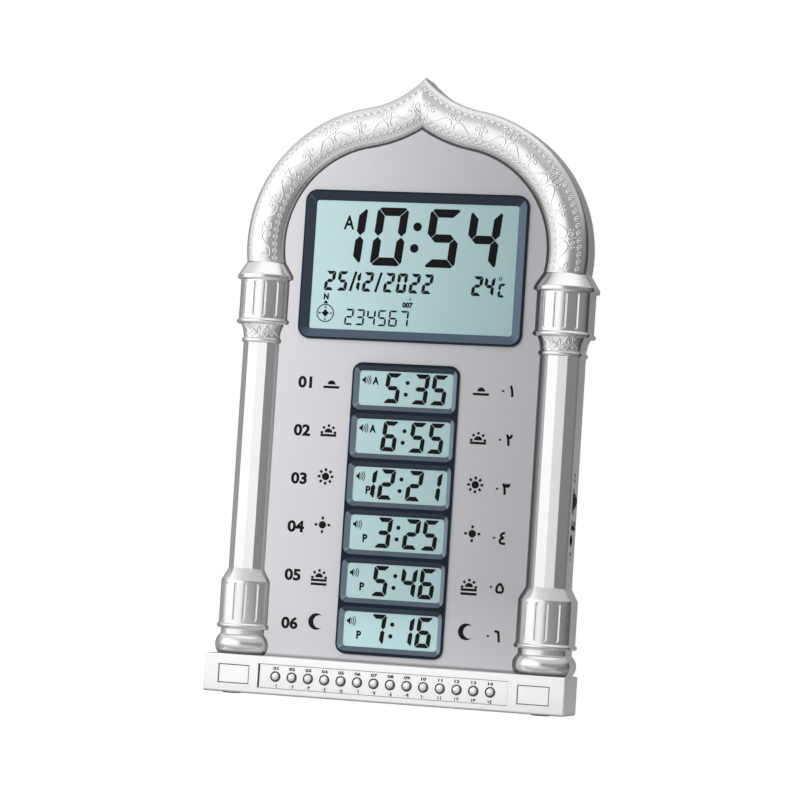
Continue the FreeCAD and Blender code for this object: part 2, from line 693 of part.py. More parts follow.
def plinth():
    """The base housing, open behind, with wells for the buttons and seats for its trim."""
    low, high = s.foot_proud, s.plinth_height
    block = box("plinth_block", (-plinth_half, plinth_half), (0, s.depth), (low, high))
    rounded = doc.addObject("Part::Fillet", "plinth_rounded")
    rounded.Base = block
    doc.recompute()
    rounded.Edges = plinth_edges(block.Shape)
    lid_edge = plinth_half - s.wall
    duct_half = plinth_half - s.duct_end
    strip_half, plate_half = strip_width / 2, s.plate_width / 2
    top = (high - 2 * s.wall, high + PAST)
    tools = [box("plinth_inside", (-lid_edge, lid_edge), (s.plinth_face, s.depth),
                 (low + s.wall, high - s.wall)),
             box("plinth_duct", (-duct_half, duct_half), (s.duct_front, s.depth + PAST), top),
             box("plinth_mouth", (-lid_edge, lid_edge), (rear_face - s.fit, s.depth + PAST), top),
             box("strip_seat", (-strip_half, strip_half), (-PAST, s.strip_recess),
                 (s.strip_margin, high - s.strip_margin))]
    for index, x in enumerate(button_places()):
        well_floor = s.strip_recess + s.well_depth
        bore = s.button_radius + s.button_gap
        tools.append(cone(f"well_{index}", s.well_radius, bore, x, (s.strip_recess, well_floor),
                          plinth_middle))
        tools.append(rod(f"well_bore_{index}", bore, x, (s.strip_recess, s.plinth_face + PAST),
                         plinth_middle))
    for sign in (-1, 1):
        x = sign * plate_offset
        tools.append(box(f"plate_seat_{sign}", (x - plate_half, x + plate_half),
                         (-PAST, s.plate_recess), (s.plate_margin, high - s.plate_margin)))
    for index, (x, deep) in enumerate(foot_places()):
        tools.append(rod(f"foot_seat_{index}", s.foot_radius, x, deep, (-PAST, s.foot_thickness), "z"))
    shell = cut("plinth_shell", rounded, *tools)
    posts, holes = [], []
    for index, (x, z) in enumerate(key_post_places()):
        posts.append(rod(f"key_post_{index}", s.post_radius, x,
                         (s.plinth_face - ROOT, key_board_front), z))
        holes.append(rod(f"key_hole_{index}", s.board_screw_radius, x,
                         (s.plinth_face, key_board_front + PAST), z))
    for index, (x, z, deep) in enumerate(case_screw_places()[-2:]):
        posts.append(rod(f"plinth_boss_{index}", s.case_boss_radius, x,
                         (s.plinth_face - ROOT, deep), z))
        holes.append(rod(f"plinth_hole_{index}", s.case_screw_radius, x,
                         (deep - s.case_screw_length, deep + PAST), z))
    node(cut("plinth", fuse("plinth_body", shell, *posts), *holes), "plinth")


def plinth_edges(shape):
    """Rounds the lower back edge fully and the other outer edges a little."""
    rounds = []
    for index, edge in enumerate(shape.Edges, start=1):
        middle = edge.BoundBox.Center
        behind = middle.y > s.depth.value / 2 - SLIVER
        below = middle.z < s.foot_proud.value + SLIVER
        if behind and not below:
            continue
        radius = s.plinth_radius.value if behind and below else s.plinth_edge.value
        rounds.append((index, radius, radius))
    return rounds


def foot_places():
    """The x and depth of each rubber foot."""
    offset = plinth_half - s.foot_end
    return [(sign * offset, deep) for sign in (-1, 1) for deep in (s.foot_inset, s.depth - s.foot_inset)]


def key_post_places():
    """Posts that carry the key board, two at each end."""
    offset = key_board_width / 2 - s.key_post_inset
    spread = s.key_board_height / 2 - s.post_radius
    return [(sign * offset, plinth_middle + rise) for sign in (-1, 1) for rise in (-spread, spread)]


def plinth_trim():
    """Overlay strip around the buttons, two label plates and four rubber feet."""
    edge = s.fit / 2
    half = strip_width / 2 - edge
    film = box("strip_sheet", (-half, half), (s.strip_recess - s.strip_thickness, s.strip_recess),
               (s.strip_margin + edge, s.plinth_height - s.strip_margin - edge))
    holes = [rod(f"strip_hole_{i}", s.well_radius, x, (0, s.strip_recess + PAST), plinth_middle)
             for i, x in enumerate(button_places())]
    node(cut("button_strip", film, *holes), "button_strip")
    half = s.plate_width / 2 - edge
    for side, sign in (("left", -1), ("right", 1)):
        x = sign * plate_offset
        plate = box(f"{side}_label_plate", (x - half, x + half),
                    (s.plate_recess - s.plate_thickness, s.plate_recess),
                    (s.plate_margin + edge, s.plinth_height - s.plate_margin - edge))
        node(plate, f"{side}_label_plate")
    feet = [rod(f"foot_{i}", s.foot_radius, x, deep, (0, s.foot_thickness), "z")
            for i, (x, deep) in enumerate(foot_places())]
    node(group("rubber_feet", feet), "rubber_feet")


def buttons():
    """Fourteen caps with a spherical dome, a flange behind the plinth's face and a short stem."""
    front, rise = s.button_front.value, s.dome_rise.value
    flange = (s.plinth_face + s.button_gap).value
    back, end = flange + s.flange_thickness.value, stem_end.value
    r, wide, stem = s.button_radius.value, s.flange_radius.value, s.stem_radius.value
    sphere = (r ** 2 + rise ** 2) / (2 * rise)
    turn = math.asin(r / sphere) / 2
    middle = (sphere * math.sin(turn), front + sphere * (1 - math.cos(turn)))
    corners = [(r, front + rise), (r, flange), (wide, flange), (wide, back), (stem, back), (stem, end),
               (0.0, end), (0.0, front)]
    outline = [(corners[-1], middle, corners[0])] + list(zip(corners, corners[1:]))
    for index, x in enumerate(button_places(), start=1):
        name = f"button_{index:02d}"
        host = body(name)
        revolve(host, name, outline)
        place(host, x, 0, plinth_middle)
        node(host, name)


def key_board():
    """The key board on its posts and the rubber dome mat on it."""
    half_w, half_h = key_board_width / 2, s.key_board_height / 2
    z = plinth_middle
    board = box("key_board_sheet", (-half_w, half_w), (key_board_front, key_board_back),
                (z - half_h, z + half_h))
    through = (key_board_front - PAST, key_board_back + PAST)
    holes = [rod(f"key_board_hole_{i}", s.board_screw_radius, x, through, pz)
             for i, (x, pz) in enumerate(key_post_places())]
    node(cut("key_board", board, *holes), "key_board")
    half = strip_width / 2 - s.mat_inset
    mat = [box("mat_sheet", (-half, half), (key_board_front - s.mat_thickness, key_board_front),
               (z - s.mat_height / 2, z + s.mat_height / 2))]
    for i, x in enumerate(button_places()):
        mat.append(cone(f"mat_dome_{i}", s.stem_radius, s.mat_dome_radius, x,
                        (key_board_front - s.mat_dome_rise, key_board_front), z))
    node(fuse("key_mat", *mat), "key_mat")


def plain_screw(name, x, z, head_back, radius, head_radius, head_height, length):
    """A pan-head screw along y, entered from behind; head_back is the depth of its head's top."""
    under_head = head_back - head_height
    head = rod(f"{name}_head", head_radius, x, (under_head, head_back), z)
    shank = rod(f"{name}_shank", radius, x, (under_head - length, under_head), z)
    return fuse(name, head, shank)


def screws():
    """The case screws and the small board screws, each kind in one node."""
    case = []
    for i, (x, z, deep) in enumerate(case_screw_places()):
        head_back = deep + s.screw_ledge + s.case_screw_head_height
        case.append(plain_screw(f"case_screw_{i}", x, z, head_back, s.case_screw_radius,
                                s.case_screw_head, s.case_screw_head_height, s.case_screw_length))
    node(group("case_screws", case), "case_screws")
    small = [(x, z, key_board_back) for x, z in key_post_places()]
    small += [(x, z, board_back) for x, z in board_post_places()]
    board = []
    for i, (x, z, deep) in enumerate(small):
        head_back = deep + s.board_screw_head_height
        board.append(plain_screw(f"board_screw_{i}", x, z, head_back, s.board_screw_radius,
                                 s.board_screw_head, s.board_screw_head_height, s.board_screw_length))
    node(group("board_screws", board), "board_screws")


# ---------------------------------------------------------------- face, bezels and displays

def board_post_places():
    """Posts on the chassis that carry the main board."""
    edge = s.post_radius + s.post_edge
    upper, lower = main_board_width / 2 - edge, row_board_width / 2 - edge
    rise = main_board_height / 2 - edge
    levels = [(upper, main_level + rise), (upper, main_level - rise), (lower, row_level),
              (lower, row_board_foot + edge)]
    return [(sign * x, z) for x, z in levels for sign in (-1, 1)]


def outline_plate(name, edges, back, thickness):
    """A body padded forward from a free outline in x and z."""
    host = body(name)
    outline = front_sketch(host, f"{name}_outline", back)
    draw(outline, edges)
    pad(host, f"{name}_pad", outline, thickness)
    return host


def window(host, name, front, depth, width, height, radius, level):
    """Pockets a rounded rectangle backwards from a depth."""
    sketch = front_sketch(host, f"{name}_sketch", front)
    rounded_rectangle(sketch, width, height, radius, level)
    return pocket(host, name, sketch, depth)


def face_panel():
    """The metal-look panel with openings for both bezels."""
    host = outline_plate("face_panel_body", panel_outline(), s.seam, s.seam - s.panel_front)
    play = 2 * s.bezel_play
    front = s.panel_front - ROOT
    thick = s.seam - s.panel_front + PAST
    window(host, "main_bezel_hole", front, thick, main_bezel_width + play,
           s.main_bezel_height + play, s.main_bezel_radius + s.bezel_play, main_level)
    window(host, "row_bezel_hole", front, thick, s.row_bezel_width + play,
           row_bezel_height + play, s.row_bezel_radius + s.bezel_play, row_level)
    node(host, "face_panel")


def chassis():
    """The plate inside the case's mouth that carries the mouldings, displays and boards."""
    plate = outline_plate("chassis_plate", cavity_outline(s.fit.value), chassis_back, s.chassis_thickness)
    play = 2 * s.fit
    front = s.seam - ROOT
    thick = s.chassis_thickness + PAST
    window(plate, "main_glass_hole", front, thick, main_glass_width + play, main_glass_height + play,
           s.glass_corner, main_level)
    window(plate, "row_glass_hole", front, thick, row_glass_width + play, row_glass_height + play,
           s.glass_corner, row_level)
    posts, holes = [], []
    for i, (x, z) in enumerate(board_post_places()):
        posts.append(rod(f"board_post_{i}", s.post_radius, x, (s.seam + ROOT, board_front), z))
        holes.append(rod(f"board_hole_{i}", s.board_screw_radius, x,
                         (board_back - s.board_screw_length, board_front + PAST), z))
    for i, (x, z, deep) in enumerate(case_screw_places()[:-2]):
        posts.append(rod(f"chassis_boss_{i}", s.case_boss_radius, x, (s.seam + ROOT, deep), z))
        holes.append(rod(f"chassis_screw_{i}", s.case_screw_radius, x,
                         (deep + s.screw_ledge - s.case_screw_length, deep + PAST), z))
    node(cut("chassis", fuse("chassis_body", plate, *posts), *holes), "chassis")


def bezel(name, level, width, height, radius, cell, opening, glass, pitch=None):
    """A frame with bevelled openings; a pitch repeats the opening upwards."""
    host = body(name)
    outer = front_sketch(host, f"{name}_outer", s.seam)
    rounded_rectangle(outer, width, height, radius, level)
    pad(host, f"{name}_pad", outer, s.seam - s.bezel_front)
    first = level
    if pitch is not None:
        first = level - pitch * (s.row_count - 1) / 2
    mouth = front_sketch(host, f"{name}_mouth", s.bezel_front)
    rounded_rectangle(mouth, *cell, first)
    throat = front_sketch(host, f"{name}_throat", s.bezel_lip)
    rounded_rectangle(throat, *opening, first)
    bevel = host.newObject("PartDesign::SubtractiveLoft", f"{name}_bevel")
    bevel.Profile = mouth
    bevel.Sections = [throat]
    bevel.Ruled = True
    hole = window(host, f"{name}_window", s.bezel_lip - SLIVER, s.seam - s.bezel_lip + PAST, *opening,
                  first)
    if pitch is not None:
        doc.recompute()
        rows = host.newObject("PartDesign::LinearPattern", f"{name}_rows")
        rows.Originals = [bevel, hole]
        rows.Direction = (mouth, ["V_Axis"])
        bind(rows, "Length", pitch * (s.row_count - 1))
        bind(rows, "Occurrences", s.row_count)
        host.Tip = rows
    seat = front_sketch(host, f"{name}_seat", s.glass_front)
    rounded_rectangle(seat, glass[0] + s.fit, glass[1] + s.fit, s.glass_corner, level)
    pocket(host, f"{name}_glass_seat", seat, s.seam - s.glass_front + PAST)
    node(host, name)


def bezels():
    """The large bezel and the six-window bezel below it."""
    rim, bevel = 2 * s.bezel_rim, 2 * s.row_bevel
    bezel("main_bezel", main_level, main_bezel_width, s.main_bezel_height, s.main_bezel_radius,
          (main_bezel_width - rim, s.main_bezel_height - rim, s.main_bezel_radius - s.bezel_rim),
          (main_bezel_width - 2 * s.main_frame_side, s.main_bezel_height - 2 * s.main_frame_top,
           s.main_window_radius),
          (main_glass_width, main_glass_height))
    bezel("row_bezel", row_level, s.row_bezel_width, row_bezel_height, s.row_bezel_radius,
          (row_cell_width, row_cell_height, s.row_cell_radius),
          (row_cell_width - bevel, row_cell_height - bevel, s.row_window_radius),
          (row_glass_width, row_glass_height), row_pitch)


def displays():
    """Glass, light guide and rubber contact strip of each display."""
    strip = s.contact_strip_width + s.contact_strip_margin
    for name, level, width, height in (("main", main_level, main_glass_width, main_glass_height),
                                       ("row", row_level, row_glass_width, row_glass_height)):
        x = (-width / 2, width / 2)
        foot, head = level - height / 2, level + height / 2
        node(box(f"{name}_glass", x, (s.glass_front, glass_back), (foot, head)), f"{name}_glass")
        guide = (glass_back, glass_back + s.backlight_thickness)
        margin = s.contact_strip_margin
        if name == "main":
            light = box("main_light", x, guide, (foot + strip, head))
            contact = box("main_contact", (x[0] + margin, x[1] - margin), (glass_back, board_front),
                          (foot + margin / 2, foot + margin / 2 + s.contact_strip_width))
        else:
            light = box("row_light", (x[0], x[1] - strip), guide, (foot, head))
            contact = box("row_contact", (x[1] - margin / 2 - s.contact_strip_width, x[1] - margin / 2),
                          (glass_back, board_front), (foot + margin, head - margin))
        node(light, f"{name}_backlight")
        node(contact, f"{name}_contact_strip")


def main_board():
    """One board behind both displays, wide above and narrow below."""
    half, low_half = main_board_width / 2, row_board_width / 2
    foot, top = main_level - main_board_height / 2, main_level + main_board_height / 2
    deep = (board_front, board_back)
    wide = box("board_wide", (-half, half), deep, (foot, top))
    narrow = box("board_narrow", (-low_half, low_half), deep, (row_board_foot, foot + ROOT))
    holes = [rod(f"board_clear_{i}", s.board_screw_radius, x, (board_front - PAST, board_back + PAST), z)
             for i, (x, z) in enumerate(board_post_places())]
    node(cut("main_board", fuse("board_sheet", wide, narrow), *holes), "main_board")


def flat_cable():
    """The flat cable from the key board back and up to the main board."""
    half = s.cable_width / 2
    front = board_back + s.cable_gap
    back = front + s.cable_thickness
    level = plinth_middle
    out = box("cable_out", (-half, half), (key_board_back, back), (level, level + s.cable_thickness))
    up = box("cable_up", (-half, half), (front, back), (level, row_board_foot + s.cable_lap))
    node(fuse("flat_cable", out, up), "flat_cable")


# ---------------------------------------------------------------- rear cover and what it holds

def leg_heights():
    """Foot of the leg and top of its barrel."""
    return (s.leg_foot_level, leg_pivot_level + s.leg_barrel)


def battery_box():
    """The inside of the battery compartment: x range, z range and floor depth."""
    tall = (s.cell_length + s.cell_nub_length + s.spring_space + s.contact_thickness) / 2
    floor = s.depth - s.door_thickness - s.cell_play - 2 * s.cell_radius
    x, z = battery_offset, s.battery_level
    return (x - battery_half, x + battery_half), (z - tall, z + tall), floor


def wider(span, by):
    """A span of one axis, grown at both ends."""
    return (span[0] - by, span[1] + by)


def rear_cover():
    """The extruded rear housing with its tubs, bosses, grille, keyholes and side slots."""
    shell = outline_plate("rear_shell", case_outline(), s.depth, s.depth - s.seam)
    inside = front_sketch(shell, "rear_cavity", s.seam)
    draw(inside, cavity_outline(0.0))
    pocket(shell, "rear_hollow", inside, s.depth - s.seam - s.wall)
    lid_half = plinth_half - s.wall - s.fit
    lid = box("plinth_lid", (-lid_half, lid_half), (rear_face, s.depth),
              (s.foot_proud + s.wall + s.fit, s.plinth_height + ROOT))
    added, removed = [lid], []
    for tubs, holes in (leg_tub(), battery_tub(), cover_bosses(), grille_and_keyholes(), side_slots()):
        added += tubs
        removed += holes
    node(cut("rear_cover", fuse("rear_body", shell, *added), *removed), "rear_cover")


def leg_tub():
    """The recess that the leg folds into, with its walls and pin holes."""
    reach = s.leg_half + s.leg_gap
    space = wider(leg_heights(), s.leg_gap)
    floor = s.depth - leg_recess
    tub = box("leg_tub", wider((-reach, reach), s.wall), (floor - s.wall, s.depth - ROOT),
              wider(space, s.wall))
    hollow = box("leg_space", (-reach, reach), (floor, s.depth + PAST), space)
    holes = rod("pin_holes", s.pin_radius, wider((-reach, reach), s.pin_engagement), leg_axis(),
                leg_pivot_level, "x")
    return [tub], [hollow, holes]


def battery_tub():
    """The battery box and the step that its door lies on."""
    across, upright, deep = battery_box()
    tub = box("battery_tub", wider(across, s.skin), (deep - s.skin, s.depth - ROOT),
              wider(upright, s.skin))
    hollow = box("battery_space", across, (deep, s.depth + PAST), upright)
    step = box("door_step", wider(across, s.door_lap), (s.depth - s.door_thickness, s.depth + PAST),
               wider(upright, s.door_lap))
    return [tub], [hollow, step]


def cover_bosses():
    """A boss for each case screw, with a sink for its head, and the side board's pillars."""
    bosses, holes = [], []
    sink = s.case_screw_head + s.case_screw_play
    for i, (x, z, depth) in enumerate(case_screw_places()):
        ledge = depth + s.screw_ledge
        bosses.append(rod(f"cover_boss_{i}", sink + s.boss_wall, x, (depth, s.depth - ROOT), z))
        holes.append(rod(f"cover_hole_{i}", s.case_screw_radius + s.case_screw_play, x,
                         (depth - PAST, ledge + PAST), z))
        holes.append(rod(f"cover_sink_{i}", sink, x, (ledge, s.depth + PAST), z))
    for i, (x, z) in enumerate(side_pillar_places()):
        bosses.append(rod(f"side_pillar_{i}", s.post_radius, x, (side_board_depths()[1], s.depth - ROOT), z))
    return bosses, holes


def grille_and_keyholes():
    """Rings of round holes before the speaker, and two keyholes to hang the clock by."""
    holes = []
    through = (rear_face - PAST, s.depth + PAST)
    for ring in range(int(s.grille_rings.value)):
        count = max(1, 6 * ring)
        reach = s.grille_pitch * ring
        for i in range(count):
            angle = 2 * math.pi * i / count
            holes.append(rod(f"grille_{ring}_{i}", s.grille_hole, reach * math.cos(angle), through,
                             speaker_level + reach * math.sin(angle)))
    for sign in (-1, 1):
        x, z = sign * s.keyhole_offset, keyhole_level
        holes.append(rod(f"keyhole_{sign}", s.keyhole_radius, x, through, z))
        holes.append(box(f"keyhole_slot_{sign}", wider((x, x), s.keyhole_slot_radius), through,
                         (z, z + s.keyhole_rise)))
        holes.append(rod(f"keyhole_end_{sign}", s.keyhole_slot_radius, x, through, z + s.keyhole_rise))
    return [], holes


def side_slots():
    """Openings in the right wall for the wheel, the slide knob and the power socket."""
    through = (inner_half - PAST, wall_face + PAST)
    inset = s.wheel_radius - s.wheel_proud - s.wall
    chord = (s.wheel_radius * s.wheel_radius - inset * inset).root() + s.slot_play
    middle = (s.side_depth, s.side_depth)
    wheel = box("wheel_slot", through, wider(middle, s.wheel_thickness / 2 + s.slot_play),
                wider((wheel_level, wheel_level), chord))
    travel = (switch_level, switch_level + s.switch_travel)
    knob = box("knob_slot", through, wider(middle, s.knob_thickness / 2 + s.slot_play),
               wider(travel, s.knob_height / 2 + s.slot_play))
    jack = rod("jack_hole", s.jack_radius + s.slot_play / 2, through, s.side_depth, s.jack_level, "x")
    return [], [wheel, knob, jack]


def leg_axis():
    """Depth of the leg's hinge axis."""
    return s.depth - leg_recess / 2


def stand_leg():
    """The fold-out leg with its hinge barrel, and the pin that carries it."""
    low, _ = leg_heights()
    front, back = s.depth - s.leg_gap - s.leg_thickness, s.depth - s.leg_gap
    plate = box("leg_plate", (-s.leg_half, s.leg_half), (front, back), (low, leg_pivot_level))
    barrel = rod("leg_round", s.leg_barrel, (-s.leg_half, s.leg_half), leg_axis(), leg_pivot_level, "x")
    rib = box("leg_rib", (-s.leg_half / 2, s.leg_half / 2), (front - s.leg_rib_rise, front + ROOT),
              (low + s.leg_rib_end, leg_pivot_level - s.leg_rib_end))
    grip = box("leg_grip", (-s.leg_half / 3, s.leg_half / 3), (back - s.leg_grip_depth, back + PAST),
               (low - PAST, low + s.leg_grip_height))
    bore = rod("leg_bore", s.pin_radius + s.pin_play, wider((-s.leg_half, s.leg_half), PAST), leg_axis(),
               leg_pivot_level, "x")
    node(cut("stand_leg", fuse("leg_body", plate, barrel, rib), grip, bore), "stand_leg")
    reach = s.leg_half + s.leg_gap + s.pin_engagement
    node(rod("leg_pin", s.pin_radius, (-reach, reach), leg_axis(), leg_pivot_level, "x"), "leg_pin")


def battery():
    """Three cells, their contacts and the door."""
    across, upright, floor = battery_box()
    first = battery_offset - s.cell_pitch * (s.cell_count - 1) / 2
    axis = floor + s.cell_radius + s.cell_play / 2
    foot, head = upright
    cells, contacts = [], []
    for i in range(int(s.cell_count.value)):
        x = first + s.cell_pitch * i
        up = i % 2 == 0
        low = foot + (s.spring_space if up else s.cell_nub_length + s.contact_thickness)
        high = low + s.cell_length
        nub = (high, high + s.cell_nub_length) if up else (low - s.cell_nub_length, low)
        can = rod(f"cell_can_{i}", s.cell_radius, x, axis, (low, high), "z")
        cap = rod(f"cell_nub_{i}", s.cell_nub_radius, x, axis, nub, "z")
        cells.append(fuse(f"cell_{i}", can, cap))
        contacts.append(spring_contact(f"spring_{i}", x, axis, (foot, low) if up else (high, head), up))
        contacts.append(contact_plate(f"contact_{i}", x, axis, (nub[1], head) if up else (foot, nub[0])))
    node(group("battery_cells", cells), "battery_cells")
    node(group("battery_contacts", contacts), "battery_contacts")
    lap = s.door_lap - s.door_play
    door = box("door_sheet", wider(across, lap), (s.depth - s.door_thickness, s.depth), wider(upright, lap))
    grip_top = head - s.door_grip_drop
    grip = box("door_grip", wider((battery_offset, battery_offset), s.door_grip_width / 2),
               (s.depth - s.door_grip_depth, s.depth + PAST), (grip_top - s.door_grip_height, grip_top))
    node(cut("battery_door", door, grip), "battery_door")


def contact_plate(name, x, axis, span):
    """A square contact between two heights."""
    half = s.cell_radius - s.contact_inset
    return box(name, wider((x, x), half), wider((axis, axis), half), span)


def spring_contact(name, x, axis, ends, up):
    """A conical battery spring as a plain cone on a thin plate."""
    low, high = ends
    t = s.contact_thickness
    plate = contact_plate(f"{name}_plate", x, axis, (low, low + t) if up else (high - t, high))
    coil = doc.addObject("Part::Cone", f"{name}_coil")
    bind(coil, "Radius1", s.spring_wide if up else s.spring_tip)
    bind(coil, "Radius2", s.spring_tip if up else s.spring_wide)
    bind(coil, "Height", high - low - t)
    place(coil, x, axis, low + t if up else low)
    return fuse(name, plate, coil)


def speaker():
    """Basket with its magnet, and the paper cone, behind the grille."""
    back = rear_face.value
    front = back - s.speaker_depth.value
    r, ring, skin = s.speaker_radius.value, s.speaker_ring.value, s.basket_skin.value
    magnet, waist = s.magnet_radius.value, front + s.magnet_depth.value
    seat = back - s.speaker_rim.value
    seat_edge, seat_inside = r - ring, r - ring - skin / 2
    frame = [(0.0, front), (magnet, front), (magnet, waist), (seat_edge, seat - skin), (seat_edge, seat),
             (r, seat), (r, back), (seat_edge, back), (seat_inside, seat - skin / 2),
             (magnet - skin, waist + skin), (0.0, waist + skin)]
    throat, wide, paper = s.cone_throat.value, s.cone_radius.value, s.cone_skin.value
    low = waist + skin
    cone_points = [(0.0, low), (throat, low), (wide, seat), (wide, seat + paper), (throat, low + paper),
                   (0.0, low + paper)]
    for label, points in (("speaker_frame", frame), ("speaker_cone", cone_points)):
        host = body(label)
        revolve(host, label, list(zip(points, points[1:] + points[:1])))
        place(host, 0, 0, speaker_level)
        node(host, label)


# ---------------------------------------------------------------- side controls

def side_board_depths():
    """Front and back depth of the board that carries the side controls."""
    front = s.side_depth + s.wheel_thickness / 2 + s.side_gap + s.pot_thickness
    return front, front + s.board_thickness


def side_pillar_places():
    """Pillars behind the side board."""
    x = wall_face - s.wheel_radius - s.side_board_width / 2
    low = side_board_foot + s.side_pillar_inset
    return [(x, low), (x, side_board_foot + s.side_board_height - s.side_pillar_inset)]


def side_controls():
    """The board behind the right wall and everything on it."""
    front, back = side_board_depths()
    edge = inner_half - s.side_gap
    node(box("side_board", (edge - s.side_board_width, edge), (front, back),
             (side_board_foot, side_board_foot + s.side_board_height)), "side_board")
    volume(front)
    switch(front, edge)
    socket(front, edge)


def volume(board):
    """Volume control with its spindle, and the notched thumb wheel on it."""
    x, z = wall_face + s.wheel_proud - s.wheel_radius, wheel_level
    low, high = s.side_depth - s.wheel_thickness / 2, s.side_depth + s.wheel_thickness / 2
    pot = rod("pot_case", s.pot_radius, x, (high + s.side_gap, board), z)
    spindle = rod("pot_spindle", s.spindle_radius, x, (low + s.spindle_recess, board), z)
    node(fuse("volume_control", pot, spindle), "volume_control")
    disc = rod("wheel_disc", s.wheel_radius, x, (low, high), z)
    through = wider((low, high), PAST)
    tools = [rod("wheel_hub", s.spindle_radius + s.spindle_play, x, through, z)]
    for i in range(int(s.wheel_notch_count.value)):
        angle = 2 * math.pi * i / s.wheel_notch_count.value
        tools.append(rod(f"notch_{i}", s.wheel_notch, x + s.wheel_radius * math.cos(angle), through,
                         z + s.wheel_radius * math.sin(angle)))
    node(cut("volume_wheel", disc, *tools), "volume_wheel")


def switch(board, edge):
    """Slide switch with a track for its knob, and the knob."""
    track_x = edge - s.track_depth
    travel = (switch_level, switch_level + s.switch_travel)
    spare = s.slot_play / 2
    knob_deep = wider((s.side_depth, s.side_depth), s.knob_thickness / 2)
    middle = switch_level + s.switch_travel / 2
    case = box("switch_case", (edge - s.switch_width, edge), (s.side_depth - s.switch_body_depth / 2, board),
               wider((middle, middle), s.switch_height / 2))
    track = box("switch_track", (track_x, edge + PAST), wider(knob_deep, spare),
                wider(travel, s.knob_height / 2 + spare))
    node(cut("slide_switch", case, track), "slide_switch")
    knob = box("switch_knob", (track_x + spare, wall_face + s.knob_proud), knob_deep,
               wider((switch_level, switch_level), s.knob_height / 2))
    node(knob, "switch_knob")


def socket(board, edge):
    """Power socket: a block with a snout in the wall, a bore and its centre pin."""
    z, y = s.jack_level, s.side_depth
    block = box("jack_block", (inner_half - s.jack_length, edge), (y - s.jack_body_depth / 2, board),
                wider((z, z), s.jack_height / 2))
    snout = rod("jack_snout", s.jack_radius, (inner_half - PAST, wall_face - s.jack_recess), y, z, "x")
    floor = wall_face - s.jack_bore_length
    bore = rod("jack_bore", s.jack_bore, (floor, wall_face + PAST), y, z, "x")
    pin = rod("jack_pin", s.jack_pin, (floor - ROOT, wall_face - s.jack_pin_recess), y, z, "x")
    shell = cut("jack_shell", fuse("jack_body", block, snout), bore)
    node(fuse("power_socket", shell, pin), "power_socket")


# ---------------------------------------------------------------- build, check and write

for column_side, column_sign in (("left", -1), ("right", 1)):
    column(column_side, column_sign)
arch_moulding()
plinth()
plinth_trim()
buttons()
key_board()
face_panel()
chassis()
bezels()
displays()
main_board()
flat_cable()
rear_cover()
stand_leg()
battery()
speaker()
side_controls()
screws()
doc.recompute()

for item in doc.Objects:
    if "Invalid" in item.State or "Error" in item.State:
        raise RuntimeError(f"{item.Name} failed: {item.State}")
for item in NODES:
    if item.Shape.isNull() or not item.Shape.isValid() or not item.Shape.Solids:
        raise RuntimeError(f"{item.Label} has no valid shape")

os.makedirs("parts", exist_ok=True)
for item in NODES:
    item.Shape.exportStep(f"parts/{item.Label}.step")
print(f"{len(NODES)} sub-parts written")
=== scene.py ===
"""Dresses a mosque-arch prayer clock: scrolled arch, turned columns, crystal figures, prints and finishes.

Lengths are in millimetres inside the classes and become metres where a mesh is made. X runs to the
right, Z up, and depth is measured backwards from the front of the plinth.
"""

import json
import logging
import math
from dataclasses import dataclass, field
from enum import Enum

import bmesh
import bpy
import numpy as np
from mathutils import Matrix, Vector


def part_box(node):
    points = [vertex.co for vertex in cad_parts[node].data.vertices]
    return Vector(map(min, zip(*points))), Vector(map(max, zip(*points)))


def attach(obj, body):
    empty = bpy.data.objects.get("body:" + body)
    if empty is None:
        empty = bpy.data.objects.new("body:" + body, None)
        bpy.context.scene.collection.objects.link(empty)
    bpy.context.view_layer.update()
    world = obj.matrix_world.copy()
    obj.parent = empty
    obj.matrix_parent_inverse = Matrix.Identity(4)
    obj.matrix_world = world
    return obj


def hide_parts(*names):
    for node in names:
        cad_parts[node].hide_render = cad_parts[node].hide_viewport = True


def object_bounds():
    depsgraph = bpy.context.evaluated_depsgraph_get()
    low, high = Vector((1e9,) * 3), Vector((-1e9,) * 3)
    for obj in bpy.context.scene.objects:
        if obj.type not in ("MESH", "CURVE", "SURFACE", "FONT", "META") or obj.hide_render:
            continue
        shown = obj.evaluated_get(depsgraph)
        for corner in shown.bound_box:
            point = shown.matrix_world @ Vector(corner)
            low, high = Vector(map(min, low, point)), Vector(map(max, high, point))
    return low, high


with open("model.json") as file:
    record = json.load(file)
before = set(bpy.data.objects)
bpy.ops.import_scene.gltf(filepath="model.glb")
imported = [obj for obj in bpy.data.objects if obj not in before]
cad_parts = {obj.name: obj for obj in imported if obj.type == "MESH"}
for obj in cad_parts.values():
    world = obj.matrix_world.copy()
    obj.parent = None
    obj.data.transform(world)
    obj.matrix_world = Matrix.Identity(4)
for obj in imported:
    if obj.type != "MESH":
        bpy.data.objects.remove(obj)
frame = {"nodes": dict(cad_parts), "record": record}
CAD_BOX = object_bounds()

MM = 0.001
BODY = "case"  # body that every new piece rides on
BUTTONS = 14

# In metres.
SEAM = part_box("rear_cover")[0].y  # where the mouldings meet the rear housing
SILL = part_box("left_foot")[0].z  # top of the plinth, on which the feet and the panel stand
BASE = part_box("plinth")[0].z  # underside of the plinth
CLOUD = 0.035  # size of slow changes of colour
SMEAR = 0.018  # size of slow changes of gloss
MERGE_DISTANCE = 1e-6

